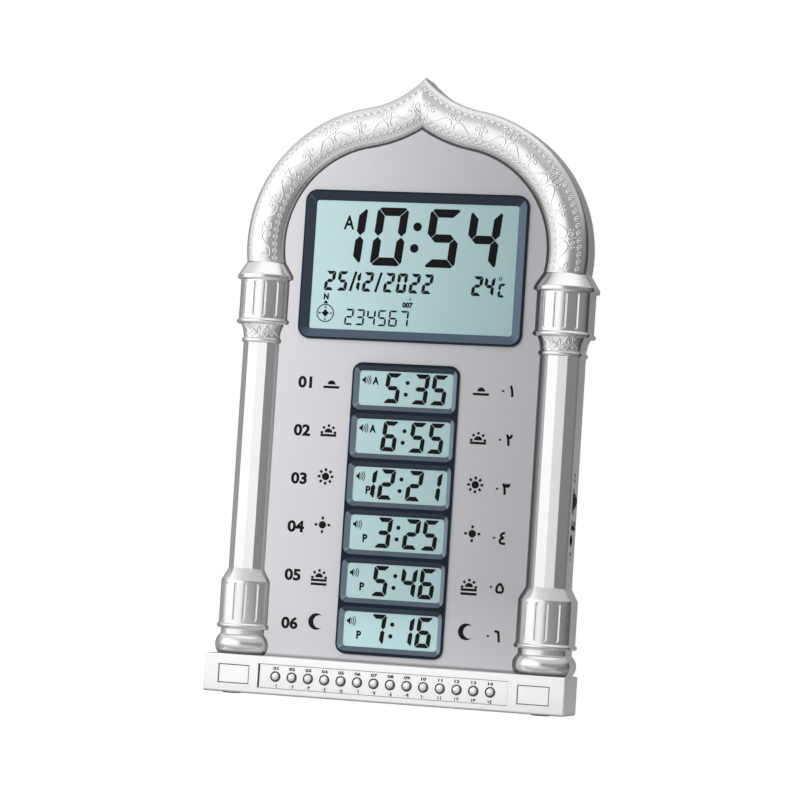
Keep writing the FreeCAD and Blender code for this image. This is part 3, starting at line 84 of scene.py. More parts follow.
# In millimetres.
FRONT = CAD_BOX[0].y / MM  # Y of the front of the plinth, from which depth is measured
SEAM_DEPTH = 14.0  # depth of the seam between the mouldings and the rear housing
COLUMN_X = 91.7  # distance of a column's axis from the middle
RING_ROWS = (-7.2, 8.3)  # lengths across from the arch's crest to its two rows of rings
BUTTON_PITCH = 10.02
BUTTON_LEVEL = 11.5  # height of the buttons' middles
ROW_LEVEL = 184.725  # height of the topmost small display's middle
ROW_PITCH = 28.45  # distance between two small displays
PRINT_THICKNESS = 0.05

SHARP_ANGLE = math.radians(38)  # from which an edge of a turned or carved piece stays sharp
FACET_ANGLE = math.radians(1)  # the same for the shafts
FIGURE_SHARE = 0.73  # height of a figure of the built-in face as a share of its size
FIGURE_STEPS = 3  # steps of each curve of the built-in face

log = logging.getLogger("arch_clock")
Finishes = dict[str, bpy.types.Material]


class Side(Enum):
    """Which half of the clock a mirrored piece stands on."""

    LEFT = -1
    RIGHT = 1


# ---- extents and meshes


@dataclass(frozen=True)
class Extent:
    """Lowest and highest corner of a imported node, in millimetres."""

    low: Vector
    high: Vector

    @classmethod
    def of(cls, node: str) -> "Extent":
        """Reads the extent of one node of the frame."""
        low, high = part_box(node)
        return cls(low / MM, high / MM)

    @property
    def middle(self) -> Vector:
        """Centre of the extent."""
        return (self.low + self.high) / 2

    @property
    def size(self) -> Vector:
        """Lengths of the three sides."""
        return self.high - self.low


def place(x: np.ndarray, depth: np.ndarray, z: np.ndarray) -> np.ndarray:
    """Stacks coordinates into points, with depth turned into Y by adding the front plane."""
    return np.stack(np.broadcast_arrays(x, depth + FRONT, z), axis=-1).astype(float)


@dataclass
class Surface:
    """Point grids and flat rims in millimetres that are welded into one closed mesh.

    Attributes:
        name: name of the mesh and its object.
        grids: (rows, columns, 3) points, each cell of which is a quad, with (rows, columns, 2) lengths
            along and across the pattern and (rows, columns) heights of the relief, or None.
        rims: arrays of (corners, 3) points, each of which is one flat face.
    """

    name: str
    grids: list[tuple[np.ndarray | None, ...]] = field(default_factory=list)
    rims: list[np.ndarray] = field(default_factory=list)

    def grid(self, points: np.ndarray, track: np.ndarray | None = None,
             relief: np.ndarray | None = None) -> None:
        """Adds one grid of points with its pattern coordinates and relief."""
        self.grids.append((points, track, relief))

    def rim(self, *points: np.ndarray) -> None:
        """Adds flat faces."""
        self.rims.extend(points)

    def half_shell(self, points: np.ndarray, track: np.ndarray | None, relief: np.ndarray) -> None:
        """Adds a half shell, the flat back between its two long edges, and its two ends."""
        self.grid(points, track, relief)
        self.grid(points[:, [0, -1]])
        self.rim(points[0], points[-1])

    def build(self, sharp: float = SHARP_ANGLE) -> bpy.types.Object:
        """Welds the grids and rims and turns every face outwards.

        The quad of cell (i, j) joins points (i, j), (i + 1, j), (i + 1, j + 1) and (i, j + 1).

        Args:
            sharp: angle in radians from which an edge stays sharp.

        Returns:
            The new object, linked to the scene, with its place in its mesh.
        """
        points, corners, starts, tracks, reliefs = [], [], [], [], []
        count = loop = 0
        for cells, track, relief in self.grids:
            rows, columns = cells.shape[:2]
            index = count + np.arange(rows * columns).reshape(rows, columns)
            quads = np.stack([index[:-1, :-1], index[1:, :-1], index[1:, 1:], index[:-1, 1:]], axis=-1)
            points.append(cells.reshape(-1, 3))
            tracks.append(np.zeros((rows * columns, 2)) if track is None else track.reshape(-1, 2))
            reliefs.append(np.zeros(rows * columns) if relief is None else relief.reshape(-1))
            corners.append(quads.reshape(-1))
            starts.append(loop + 4 * np.arange(quads.size // 4))
            count += rows * columns
            loop += quads.size
        for rim in self.rims:
            points.append(rim)
            tracks.append(np.zeros((len(rim), 2)))
            reliefs.append(np.zeros(len(rim)))
            corners.append(count + np.arange(len(rim)))
            starts.append(np.array([loop]))
            count += len(rim)
            loop += len(rim)
        mesh = bpy.data.meshes.new(self.name)
        mesh.vertices.add(count)
        mesh.vertices.foreach_set("co", (np.concatenate(points) * MM).ravel())
        mesh.loops.add(loop)
        loops = np.concatenate(corners)
        mesh.loops.foreach_set("vertex_index", loops)
        first = np.concatenate(starts)
        mesh.polygons.add(len(first))
        mesh.polygons.foreach_set("loop_start", first)
        mesh.update(calc_edges=True)
        mesh.uv_layers.new(name="track").uv.foreach_set("vector", np.concatenate(tracks)[loops].ravel())
        mesh.attributes.new("relief", "FLOAT", "POINT").data.foreach_set("value", np.concatenate(reliefs))
        weld(mesh)
        mesh.shade_smooth()
        mesh.set_sharp_from_angle(angle=sharp)
        return link(self.name, mesh)


def weld(mesh: bpy.types.Mesh) -> None:
    """Merges doubled points and turns the faces outwards."""
    work = bmesh.new()
    work.from_mesh(mesh)
    bmesh.ops.remove_doubles(work, verts=work.verts, dist=MERGE_DISTANCE)
    bmesh.ops.recalc_face_normals(work, faces=work.faces)
    work.to_mesh(mesh)
    work.free()


def link(name: str, mesh: bpy.types.Mesh) -> bpy.types.Object:
    """Links a mesh to the scene as an object at the origin."""
    piece = bpy.data.objects.new(name, mesh)
    bpy.context.scene.collection.objects.link(piece)
    return piece


def enter(piece: bpy.types.Object, slot: str, material: bpy.types.Material, *nodes: str) -> None:
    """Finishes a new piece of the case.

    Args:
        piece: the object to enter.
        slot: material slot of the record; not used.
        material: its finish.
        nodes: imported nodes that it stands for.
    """
    piece.data.materials.clear()
    piece.data.materials.append(material)
    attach(piece, BODY)
    if nodes:
        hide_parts(*nodes)
    log.info("%s: %d faces", piece.name, len(piece.data.polygons))


# ---- shader trees


class Signal:
    """One socket of a shader tree, on which arithmetic adds the Math nodes it needs."""

    def __init__(self, tree: "Tree", socket: bpy.types.NodeSocket) -> None:
        """Wraps a socket of a tree."""
        self.tree = tree
        self.socket = socket

    def __add__(self, other: "Signal | float") -> "Signal":
        """Sum."""
        return self.tree.maths("ADD", self, other)

    __radd__ = __add__

    def __sub__(self, other: "Signal | float") -> "Signal":
        """Difference."""
        return self.tree.maths("SUBTRACT", self, other)

    def __rsub__(self, other: float) -> "Signal":
        """Difference from a number."""
        return self.tree.maths("SUBTRACT", other, self)

    def __mul__(self, other: "Signal | float") -> "Signal":
        """Product."""
        return self.tree.maths("MULTIPLY", self, other)

    __rmul__ = __mul__

    def __pow__(self, other: float) -> "Signal":
        """Power."""
        return self.tree.maths("POWER", self, other)

    def at_least(self, other: "Signal | float") -> "Signal":
        """The larger of the two."""
        return self.tree.maths("MAXIMUM", self, other)

    def at_most(self, other: "Signal | float") -> "Signal":
        """The smaller of the two."""
        return self.tree.maths("MINIMUM", self, other)

    def size(self) -> "Signal":
        """Absolute value."""
        return self.tree.maths("ABSOLUTE", self)

    def between(self, start: float, end: float) -> "Signal":
        """Smooth step that is 0 at start and 1 at end."""
        return self.tree.add("ShaderNodeMapRange", {"interpolation_type": "SMOOTHSTEP"},
                             {"Value": self, "From Min": start, "From Max": end})


class Tree:
    """A node tree that is filled by one node-making method."""

    def __init__(self, tree: bpy.types.NodeTree) -> None:
        """Empties a tree and keeps it."""
        self.nodes = tree.nodes
        self.links = tree.links
        self.nodes.clear()

    def add(self, kind: str, settings: dict | None = None, inputs: dict | None = None,
            output: int | str = 0) -> Signal:
        """Makes one node.

        Args:
            kind: type of the node.
            settings: its properties, which are set first.
            inputs: values or signals for its sockets, by name or index.
            output: the socket to return.

        Returns:
            The chosen output as a signal.
        """
        node = self.nodes.new(kind)
        for name, value in (settings or {}).items():
            setattr(node, name, value)
        for name, value in (inputs or {}).items():
            if isinstance(value, Signal):
                self.links.new(value.socket, node.inputs[name])
            else:
                node.inputs[name].default_value = value
        return Signal(self, node.outputs[output]) if len(node.outputs) else Signal(self, node.inputs[0])

    def maths(self, operation: str, *values: Signal | float) -> Signal:
        """Adds one Math node."""
        return self.add("ShaderNodeMath", {"operation": operation}, dict(enumerate(values)))

    def blend(self, share: Signal | float, first: tuple | Signal, second: tuple | Signal) -> Signal:
        """Mixes two colours, the second by the given share."""
        ends = [end if isinstance(end, Signal) else (*end, 1.0) for end in (first, second)]
        return self.add("ShaderNodeMix", {"data_type": "RGBA"}, {0: share, 6: ends[0], 7: ends[1]}, 2)

    def tint(self, colour: tuple | Signal, factor: Signal) -> Signal:
        """Scales a colour by a factor."""
        return self.add("ShaderNodeVectorMath", {"operation": "SCALE"}, {0: colour, "Scale": factor})

    def place(self) -> Signal:
        """Object coordinates in metres."""
        return self.add("ShaderNodeTexCoord", output="Object")

    def along(self, axis: str, where: Signal | None = None) -> Signal:
        """One coordinate of a vector, or of the object coordinates in metres."""
        return self.add("ShaderNodeSeparateXYZ", {}, {0: where or self.place()}, axis)

    def ray(self, kind: str) -> Signal:
        """1 for rays of one kind, else 0."""
        return self.add("ShaderNodeLightPath", output=f"Is {kind} Ray")

    def seen(self) -> Signal:
        """1 for rays that the camera sends, also on through a clear piece, else 0."""
        return (self.ray("Camera") + self.ray("Transmission")).at_most(1.0)

    def noise(self, size: float, detail: float = 3.0, where: Signal | None = None) -> Signal:
        """Noise between 0 and 1 whose features are about the given size in metres."""
        inputs = {"Vector": where or self.place(), "Scale": 1 / size, "Detail": detail}
        return self.add("ShaderNodeTexNoise", {}, inputs, "Fac")

    def bump(self, height: Signal, depth: float) -> Signal:
        """Normal of a height between 0 and 1 that stands for a depth in metres."""
        return self.add("ShaderNodeBump", {}, {"Height": height, "Strength": 1.0, "Distance": depth})


def new_material(name: str) -> tuple[bpy.types.Material, Tree]:
    """Makes an empty material and its tree."""
    material = bpy.data.materials.new(name)
    material.use_nodes = True
    return material, Tree(material.node_tree)


@dataclass(frozen=True)
class JointShade:
    """A plane where two pieces meet, into which painted shade darkens a finish.

    Attributes:
        axis: letter of the axis across the plane.
        level: place of the plane on that axis in metres.
        reach: how far the painted shade spreads in metres, with its direction along the axis.
        depth: share by which painted shade darkens the finish at the plane.
        full: share of the reach over which it is darkest.
    """

    axis: str
    level: float
    reach: float
    depth: float
    full: float = 0.25

    def shade(self, tree: Tree) -> Signal:
        """Factor for the colour, as painted shade: 1 at the reach, falling by a smooth step to 1 less the
        depth.
        """
        # painted shade: the colour darkens towards the plane where the pieces meet
        start, end = (self.level + share * self.reach for share in (1.0, self.full))
        return 1.0 - tree.along(self.axis).between(start, end) * self.depth


@dataclass(frozen=True)
class Finish:
    """A coated, moulded or printed surface.

    Attributes:
        name: name of the material.
        colour: base colour, linear.
        metallic: share of metal.
        roughness: middle roughness.
        grain: size in metres of the surface grain.
        grain_depth: depth of the grain in metres.
        mottle: share by which the colour varies over centimetres.
        roughness_span: how far the roughness wanders.
        specular: specular level.
        joints: planes into which painted shade darkens the colour.
        fine_share: share of the fine grain in the height, the rest being a coarser one.
    """

    name: str
    colour: tuple[float, float, float]
    metallic: float = 0.0
    roughness: float = 0.5
    grain: float = 0.0006
    grain_depth: float = 0.000004
    mottle: float = 0.03
    roughness_span: float = 0.06
    specular: float = 0.5
    joints: tuple[JointShade, ...] = ()
    fine_share: float = 0.7

    def tone(self, tree: Tree) -> Signal:
        """Base colour: the plain colour, lighter and darker by the mottle over slow noise."""
        cloud = tree.noise(CLOUD, 4.0)
        fine = tree.noise(self.grain * 3, 2.0)
        factor = 1.0 + (cloud - 0.5) * (2 * self.mottle) + (fine - 0.5) * self.mottle
        return tree.tint(self.colour, factor)

    def gloss(self, tree: Tree) -> Signal:
        """Roughness: its middle value with slow smears and a little grain."""
        smear = tree.noise(SMEAR, 5.0)
        return self.roughness + (smear - 0.5) * (2 * self.roughness_span)

    def height(self, tree: Tree) -> Signal:
        """Height of the grain between 0 and 1."""
        coarse = tree.noise(self.grain * 6, 2.0)
        return tree.noise(self.grain, 3.0) * self.fine_share + coarse * (1 - self.fine_share)

    def normal(self, tree: Tree) -> Signal:
        """Normal of the grain."""
        return tree.bump(self.height(tree), self.grain_depth)

    def metal(self, tree: Tree) -> Signal | float:
        """Share of metal."""
        return self.metallic

    def make(self) -> bpy.types.Material:
        """Builds the material.

        Returns:
            The material, with colour, roughness and grain from its nodes.
        """
        material, tree = new_material(self.name)
        tone = self.tone(tree)
        # painted shade: each joint darkens the colour towards its plane
        for joint in self.joints:
            tone = tree.tint(tone, joint.shade(tree))
        inputs = {
            "Base Color": tone,
            "Metallic": self.metal(tree),
            "Roughness": self.gloss(tree),
            "Specular IOR Level": self.specular,
            "Normal": self.normal(tree),
        }
        shader = tree.add("ShaderNodeBsdfPrincipled", {}, inputs)
        tree.add("ShaderNodeOutputMaterial", {}, {"Surface": shader})
        return material


@dataclass(frozen=True)
class OrnamentFinish(Finish):
    """Silver coating of the arch, stippled and rougher in the ground under its rows of curls, with painted
    shade darkening that ground.

    Attributes:
        bands: lengths across, in millimetres, of the middles of the two stippled bands.
        half_band: half the width of a band in millimetres.
        edge: half the width over which a band fades, in millimetres.
        cord: share of a cord's height where its foot and its lit top are.
        shade: share of painted shade that darkens the ground of a band.
        matt: how much rougher the ground of a band is.
        stipple: size of the stipple in metres.
        stipple_depth: depth of the stipple in metres.
    """

    bands: tuple[float, float] = RING_ROWS
    half_band: float = 2.3
    edge: float = 0.9
    cord: tuple[float, float] = (0.05, 0.8)
    shade: float = 0.12
    matt: float = 0.12
    stipple: float = 0.00045
    stipple_depth: float = 0.00003

    def band(self, tree: Tree) -> Signal:
        """Mask of the stippled bands: 1 where the length across lies within half a band of a middle."""
        track = tree.add("ShaderNodeUVMap", {"uv_map": "track"})
        across = tree.along("Y", track)
        start, end = self.half_band - self.edge, self.half_band + self.edge
        inner, outer = (1.0 - (across - middle).size().between(start, end) for middle in self.bands)
        return inner + outer

    def ground(self, tree: Tree) -> Signal:
        """Mask of the ground of the bands: 1 between the cords, 0 on them."""
        height = tree.add("ShaderNodeAttribute", {"attribute_name": "relief"}, output="Fac")
        return self.band(tree) * (1.0 - height.between(*self.cord))

    def tone(self, tree: Tree) -> Signal:
        """Base colour: the coating, with painted shade in the ground of the bands."""
        # painted shade in the ground between the cords
        return tree.tint(super().tone(tree), 1.0 - self.ground(tree) * self.shade)

    def gloss(self, tree: Tree) -> Signal:
        """Roughness: rougher in the ground of the bands."""
        return super().gloss(tree) + self.ground(tree) * self.matt

    def height(self, tree: Tree) -> Signal:
        """Height of the grain, with the stipple added in the ground of the bands."""
        pits = tree.add("ShaderNodeTexVoronoi", {}, {"Vector": tree.place(), "Scale": 1 / self.stipple})
        share = self.grain_depth / self.stipple_depth
        return super().height(tree) * share + pits * self.ground(tree)

    def normal(self, tree: Tree) -> Signal:
        """Normal of the grain and the stipple."""
        return tree.bump(self.height(tree), self.stipple_depth)


@dataclass(frozen=True)
class LightFalloffFinish(Finish):
    """A satin front whose tone darkens from left to right: painted falloff of the light from the left.

    Attributes:
        far: colour at the right end, linear, where the painted light has fallen off.
        reach: distance from the middle to each end in metres.
        cloud: size in metres of the slow changes of tone.
    """

    far: tuple[float, float, float] = (0.43, 0.62, 0.63)
    reach: float = 0.06
    cloud: float = 0.03

    def tone(self, tree: Tree) -> Signal:
        """Base colour: painted light falloff from the left colour to the right one, with a fine grain and
        slow clouds.
        """
        # painted light: the tone falls off across the width, away from the lit left side
        run = tree.along("X").between(-self.reach, self.reach)
        grain = tree.noise(self.grain, 2.0)
        cloud = tree.noise(self.cloud, 2.0)
        factor = 1.0 + (grain - 0.5) * (3 * self.mottle) + (cloud - 0.5) * (2 * self.mottle)
        return tree.tint(tree.blend(run, self.colour, self.far), factor)


@dataclass(frozen=True)
class BoardFinish(Finish):
    """Solder mask of a circuit board with copper tracks showing lighter through it.

    Attributes:
        cell: distance between two tracks in metres.
        track: distances from a cell's point, in cells, where a track starts and is full.
        gain: how much lighter the mask is over a track.
        cover: share by which a track shows.
    """

    cell: float = 1 / 260
    track: tuple[float, float] = (2.2 / 6, 2.5 / 6)
    gain: float = 2.1
    cover: float = 0.6

    def tone(self, tree: Tree) -> Signal:
        """Base colour: darker mask, and lighter where a warped grid of tracks runs."""
        cells = tree.add("ShaderNodeTexVoronoi", {"distance": "MANHATTAN", "feature": "F1"},
                         {"Vector": tree.place(), "Scale": 1 / self.cell})
        lighter = tuple(min(1.0, self.gain * part) for part in self.colour)
        return tree.blend(cells.between(*self.track) * self.cover, self.colour, lighter)


@dataclass(frozen=True)
class BezelFinish(Finish):
    """A dark gloss frame whose bevels round the openings are a slate satin, with painted shade on the upper
    and lower bevels.

    Attributes:
        slate: colour of the bevels, linear.
        satin: share of metal in the bevels.
        middle: height of the topmost opening's middle in metres.
        pitch: distance between two openings in metres.
        reach: half width and half height of the bevelled region in metres.
        rounding: radius of its corners in metres.
        shade: share of painted shade on the bevel under each upper edge.
        deep: share of painted shade on the bevel over each lower edge.
        blur: half the width over which two areas pass into each other, in metres.
    """

    slate: tuple[float, float, float] = (0.2, 0.24, 0.3)
    satin: float = 0.4
    middle: float = 0.257
    pitch: float = 1.0
    reach: tuple[float, float] = (0.0672, 0.0433)
    rounding: float = 0.006
    shade: float = 0.5
    deep: float = 0.0
    blur: float = 0.0002

    def across(self, tree: Tree) -> Signal:
        """Distance from the middle plane."""
        return tree.along("X").size()

    def climb(self, tree: Tree) -> Signal:
        """Height above the middle of the nearest opening."""
        height = tree.along("Z") - (self.middle - self.pitch / 2)
        return tree.maths("FLOORED_MODULO", height, self.pitch) - self.pitch / 2

    def bevel(self, tree: Tree) -> Signal:
        """Mask of the bevels: 1 inside a rounded rectangle about each opening's middle.

        The distance outside is the length of the parts by which |x| and |z| pass the inner corners.
        """
        parts = zip((self.across(tree), self.climb(tree).size()), self.reach)
        over = [(part - (limit - self.rounding)).at_least(0.0) for part, limit in parts]
        outside = (over[0] * over[0] + over[1] * over[1]) ** 0.5
        return 1.0 - outside.between(self.rounding - self.blur, self.rounding + self.blur)

    def tone(self, tree: Tree) -> Signal:
        """Base colour: slate on the bevels, with painted shade past their upper and lower mitres, dark
        elsewhere.
        """
        mitre = (self.across(tree) - (self.reach[0] - self.reach[1])).at_least(0.0)
        climb = self.climb(tree)
        upper, lower = (part.between(-self.blur, self.blur) for part in (climb - mitre, 0.0 - climb - mitre))
        # painted shade on the bevels past the upper and lower mitres
        slate = tree.tint(self.slate, 1.0 - upper * self.shade - lower * self.deep)
        return tree.blend(self.bevel(tree), super().tone(tree), slate)

    def metal(self, tree: Tree) -> Signal:
        """Share of metal: only the bevels have some."""
        return self.bevel(tree) * self.satin


@dataclass(frozen=True)
class PaperFinish(Finish):
    """Pressed fibre with long soft strands.

    Attributes:
        stretch: scale of the grain along the three axes.
    """

    stretch: tuple[float, float, float] = (1.0, 1.0, 0.25)

    def height(self, tree: Tree) -> Signal:
        """Height of the fibres: noise stretched along one direction."""
        strands = tree.add("ShaderNodeMapping", {}, {"Vector": tree.place(), "Scale": self.stretch})
        return tree.noise(self.grain, 4.0, strands)


@dataclass(frozen=True)
class ShadedCapFinish(Finish):
    """Plating of the button caps with painted shade: darker away from a painted lit spot, towards the lower
    right where each cap turns into its well.

    Attributes:
        pitch: distance between two caps in metres.
        middle: height of the caps' middles in metres.
        lit: place of the painted lit spot's middle from a cap's middle in metres, across and up.
        rim: distances from there, in metres, where the painted shade starts and is darkest.
        shade: share of painted shade there.
    """

    pitch: float = BUTTON_PITCH * MM
    middle: float = BUTTON_LEVEL * MM
    lit: tuple[float, float] = (-0.0006, 0.0004)
    rim: tuple[float, float] = (0.0019, 0.0027)
    shade: float = 0.72

    def tone(self, tree: Tree) -> Signal:
        """Base colour: the plating with painted shade, darker by a smooth step over the distance from the lit
        spot.
        """
        # painted highlight and painted shade: lighter near the lit spot, darker towards each cap's lower
        # right
        aside = tree.maths("FLOORED_MODULO", tree.along("X"), self.pitch) - (self.pitch / 2 + self.lit[0])
        above = tree.along("Z") - (self.middle + self.lit[1])
        away = (aside * aside + above * above) ** 0.5
        return tree.tint(super().tone(tree), 1.0 - away.between(*self.rim) * self.shade)


def silver(name: str, roughness: float, *joints: JointShade, kind: type[Finish] = Finish) -> Finish:
    """The satin silver coating of the mouldings.

    Args:
        name: name of the material.
        roughness: middle roughness.
        joints: planes into which painted shade darkens it.
        kind: class of the finish.

    Returns:
        The finish.
    """
    return kind(name, (0.88, 0.88, 0.885), 0.95, roughness, 0.0005, 0.000003, 0.02, 0.04, joints=joints)


def bezel(name: str, **sizes: float | tuple[float, ...]) -> Finish:
    """The dark gloss of both bezels, with the sizes and colours of its bevels."""
    return BezelFinish(name, (0.007, 0.014, 0.024), 0.0, 0.34, 0.0006, 0.000003, 0.05, 0.05, **sizes)


# Every finish of the clock, by the material slot, the node or the new piece that it belongs to.
PALETTE: dict[str, Finish] = {
    # The joint entries below are painted shade: into the seam with the rear housing, onto the sill under the
    # feet and the panel, and along the plinth's bottom edge.
    "silver_moulding": silver("silver_moulding", 0.26, JointShade("Y", SEAM, -0.0024, 0.45)),
    "shaft": silver("silver_shaft", 0.24, JointShade("Y", SEAM, -0.0013, 0.15)),
    "foot": silver("silver_foot", 0.26, JointShade("Y", SEAM, -0.0015, 0.08), JointShade("Z", SILL, 0.0032, 0.8)),
    "arch": silver("silver_ornament", 0.25, JointShade("Y", SEAM, -0.0024, 0.62), kind=OrnamentFinish),
    "plinth": Finish("silver_plinth", (0.95, 0.95, 0.955), 0.50, 0.30, 0.0005, 0.000003, 0.015, 0.03,
                     joints=(JointShade("Z", BASE, 0.0016, 0.5),)),
    "silver_housing": Finish("silver_housing", (0.80, 0.80, 0.81), 0.40, 0.42, 0.0007, 0.000008),
    "rear_cover": Finish("silver_rear_cover", (0.76, 0.76, 0.77), 0.40, 0.42, 0.0007, 0.000008,
                         joints=(JointShade("Y", SEAM, 0.0012, 0.93),)),
    "grey_inner": Finish("grey_inner", (0.16, 0.165, 0.18), 0.0, 0.55, 0.0008, 0.00001),
    "silver_panel": LightFalloffFinish(
        "silver_panel", (0.65, 0.655, 0.68), 0.15, 0.45, 0.0004, 0.000004, 0.015, 0.03,
        joints=(JointShade("Z", SILL, 0.0024, 0.55), JointShade("Z", SILL, 0.04, 0.1)),
        far=(0.555, 0.56, 0.58), reach=0.08),
    "dark_bezel": bezel("dark_bezel", specular=0.15, slate=(0.10, 0.135, 0.18), satin=0.9, shade=0.66),
    "row_bezel": bezel("row_bezel", specular=0.12, slate=(0.25, 0.32, 0.39), satin=0.45, shade=0.78,
                       deep=0.6, middle=ROW_LEVEL * MM, pitch=ROW_PITCH * MM, reach=(0.0314, 0.0131),
                       rounding=0.0042),
    "display_glass": LightFalloffFinish("display_glass", (0.50, 0.685, 0.69), 0.0, 0.40, 0.0004, 0.000002,
                                  specular=0.3),
    "light_guide": Finish("light_guide", (0.80, 0.84, 0.84), 0.0, 0.35),
    "rubber": Finish("rubber", (0.018, 0.018, 0.019), 0.0, 0.78, 0.0005, 0.000015, 0.08),
    "circuit_board": BoardFinish("circuit_board", (0.010, 0.075, 0.030), 0.0, 0.35),
    "overlay": Finish("overlay", (0.97, 0.97, 0.975), 0.65, 0.30, 0.0003, 0.000002, 0.01, 0.03),
    "label_plate": Finish("label_plate", (0.96, 0.96, 0.96), 0.32, 0.40, 0.0003, 0.000002, 0.01),
    "cable": Finish("cable", (0.72, 0.72, 0.66), 0.0, 0.45),
    "steel": Finish("steel", (0.58, 0.57, 0.55), 1.0, 0.30, 0.0003, 0.000006, 0.05),
    "cone_paper": PaperFinish("cone_paper", (0.022, 0.021, 0.020), 0.0, 0.85, 0.0009, 0.00004),
    "black_plastic": Finish("black_plastic", (0.012, 0.012, 0.013), 0.0, 0.42, 0.0005, 0.000008),
    "cell_jacket": Finish("cell_jacket", (0.025, 0.075, 0.22), 0.2, 0.35),
    "button_metal": ShadedCapFinish("button_metal", (0.93, 0.93, 0.935), 0.55, 0.18, 0.0004, 0.000001,
                              0.01, 0.02),
    "ink": Finish("print_ink", (0.010, 0.009, 0.010), 0.0, 0.6, 0.0002, 0.000002, 0.1, specular=0.1),
    "segment": Finish("crystal_segment", (0.009, 0.008, 0.009), 0.0, 0.55, 0.0003, 0.000001, 0.1,
                      specular=0.08),
    # dark finish of the painted shadow lines in the gaps
    "groove": Finish("groove_shadow", (0.04, 0.04, 0.043), 0.0, 0.6, 0.0002, 0.000002, 0.1),
}


# ---- flat prints


def chaikin(path: np.ndarray, rounds: int = 3) -> np.ndarray:
    """Rounds a polyline: each corner gives way to points a quarter and three quarters along its runs."""
    for _ in range(rounds):
        near = 0.75 * path[:-1] + 0.25 * path[1:]
        far = 0.25 * path[:-1] + 0.75 * path[1:]
        inner = np.stack([near, far], axis=1).reshape(-1, 2)
        path = np.concatenate([path[:1], inner[1:-1], path[-1:]])
    return path


def ribbon(path: np.ndarray, width: float) -> np.ndarray:
    """Outline of a line of even width: the path pushed half a width to each side of its tangent."""
    tangent = np.gradient(path, axis=0)
    tangent /= np.linalg.norm(tangent, axis=1, keepdims=True)
    normal = np.stack([-tangent[:, 1], tangent[:, 0]], axis=1) * width / 2
    return np.concatenate([path - normal, (path + normal)[::-1]])


def arc(centre: tuple[float, float], radius: float, start: float, end: float, count: int = 16) -> np.ndarray:
    """Points of a circular arc between two angles in degrees."""
    angle = np.radians(np.linspace(start, end, count))
    return np.stack([centre[0] + radius * np.cos(angle), centre[1] + radius * np.sin(angle)], axis=1)


def disc(centre: tuple[float, float], radius: float, count: int = 24) -> np.ndarray:
    """Outline of a round dot."""
    return arc(centre, radius, 0, 360 * (1 - 1 / count), count)


def hoop(centre: tuple[float, float], radius: float, width: float) -> list[np.ndarray]:
    """Two half rings of the given line width."""
    return [ribbon(arc(centre, radius, start, start + 180, 20), width) for start in (0, 180)]


@dataclass(frozen=True)
class Lettering:
    """Size and weight of plain figures of the built-in face.

    Attributes:
        height: height of a figure.
        bold: how far each outline is pushed out.
        squeeze: width as a share of the face's own.
    """

    height: float
    bold: float
    squeeze: float


class Facing(Enum):
    """Which way a printed surface looks, as the sign by which a print stands off it."""

    FRONT = -1
    RIGHT = 1


@dataclass
class Print:
    """Flat outlines that lie on a surface facing the front or the right, as ink or crystal segments.

    Attributes:
        name: name of the piece.
        depth: depth of the surface that carries it, or its x where it faces right.
        facing: which way the surface looks.
        outlines: closed outlines as (corners, 2) arrays of x, or depth where it faces right, and z.
    """

    name: str
    depth: float
    facing: Facing = Facing.FRONT
    outlines: list[np.ndarray] = field(default_factory=list)

    @classmethod
    def on(cls, name: str, node: str) -> "Print":
        """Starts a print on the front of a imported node."""
        return cls(name, Extent.of(node).low.y - FRONT)

    def add(self, *outlines: np.ndarray) -> None:
        """Adds closed outlines."""
        self.outlines.extend(outlines)

    def number(self, text: str, x: float, z: float, style: Lettering) -> None:
        """Adds plain figures of the built-in face, centred on x and standing on z.

        Args:
            text: the figures.
            x: middle of the word.
            z: its base line.
            style: their size and weight.
        """
        curve = bpy.data.curves.new("figures", "FONT")
        curve.body = text
        curve.size = style.height / FIGURE_SHARE
        curve.offset = style.bold
        curve.resolution_u = FIGURE_STEPS
        curve.fill_mode = "FRONT"
        piece = bpy.data.objects.new("figures", curve)
        flat = bpy.data.meshes.new_from_object(piece)
        points = np.empty(len(flat.vertices) * 3)
        flat.vertices.foreach_get("co", points)
        points = points.reshape(-1, 3)[:, :2]
        middle = (points[:, 0].min() + points[:, 0].max()) / 2
        points[:, 0] = x + style.squeeze * (points[:, 0] - middle)
        points[:, 1] += z
        self.add(*[points[list(face.vertices)] for face in flat.polygons])
        bpy.data.objects.remove(piece)
        bpy.data.meshes.remove(flat)
        bpy.data.curves.remove(curve)

    def build(self, slot: str, material: bpy.types.Material) -> bpy.types.Object:
        """Gives each outline its thickness: a front, a back and a wall between them.

        Args:
            slot: material slot of the record.
            material: finish of the print.

        Returns:
            The finished piece.
        """
        points, faces, count = [], [], 0
        for outline in self.outlines:
            total = len(outline)
            for level in (self.depth + self.facing.value * PRINT_THICKNESS, self.depth):
                flat = (outline[:, 0], level) if self.facing is Facing.FRONT else (level, outline[:, 0])
                points.append(place(*flat, outline[:, 1]) * MM)
            ring = np.arange(total)
            after = np.roll(ring, -1)
            wall = np.stack([ring, ring + total, after + total, after], axis=1) + count
            faces.append((ring + count).tolist())
            faces.append((ring[::-1] + total + count).tolist())
            faces.extend(wall.tolist())
            count += 2 * total
        mesh = bpy.data.meshes.new(self.name)
        mesh.from_pydata(np.concatenate(points), [], faces)
        weld(mesh)
        piece = link(self.name, mesh)
        enter(piece, slot, material)
        return piece


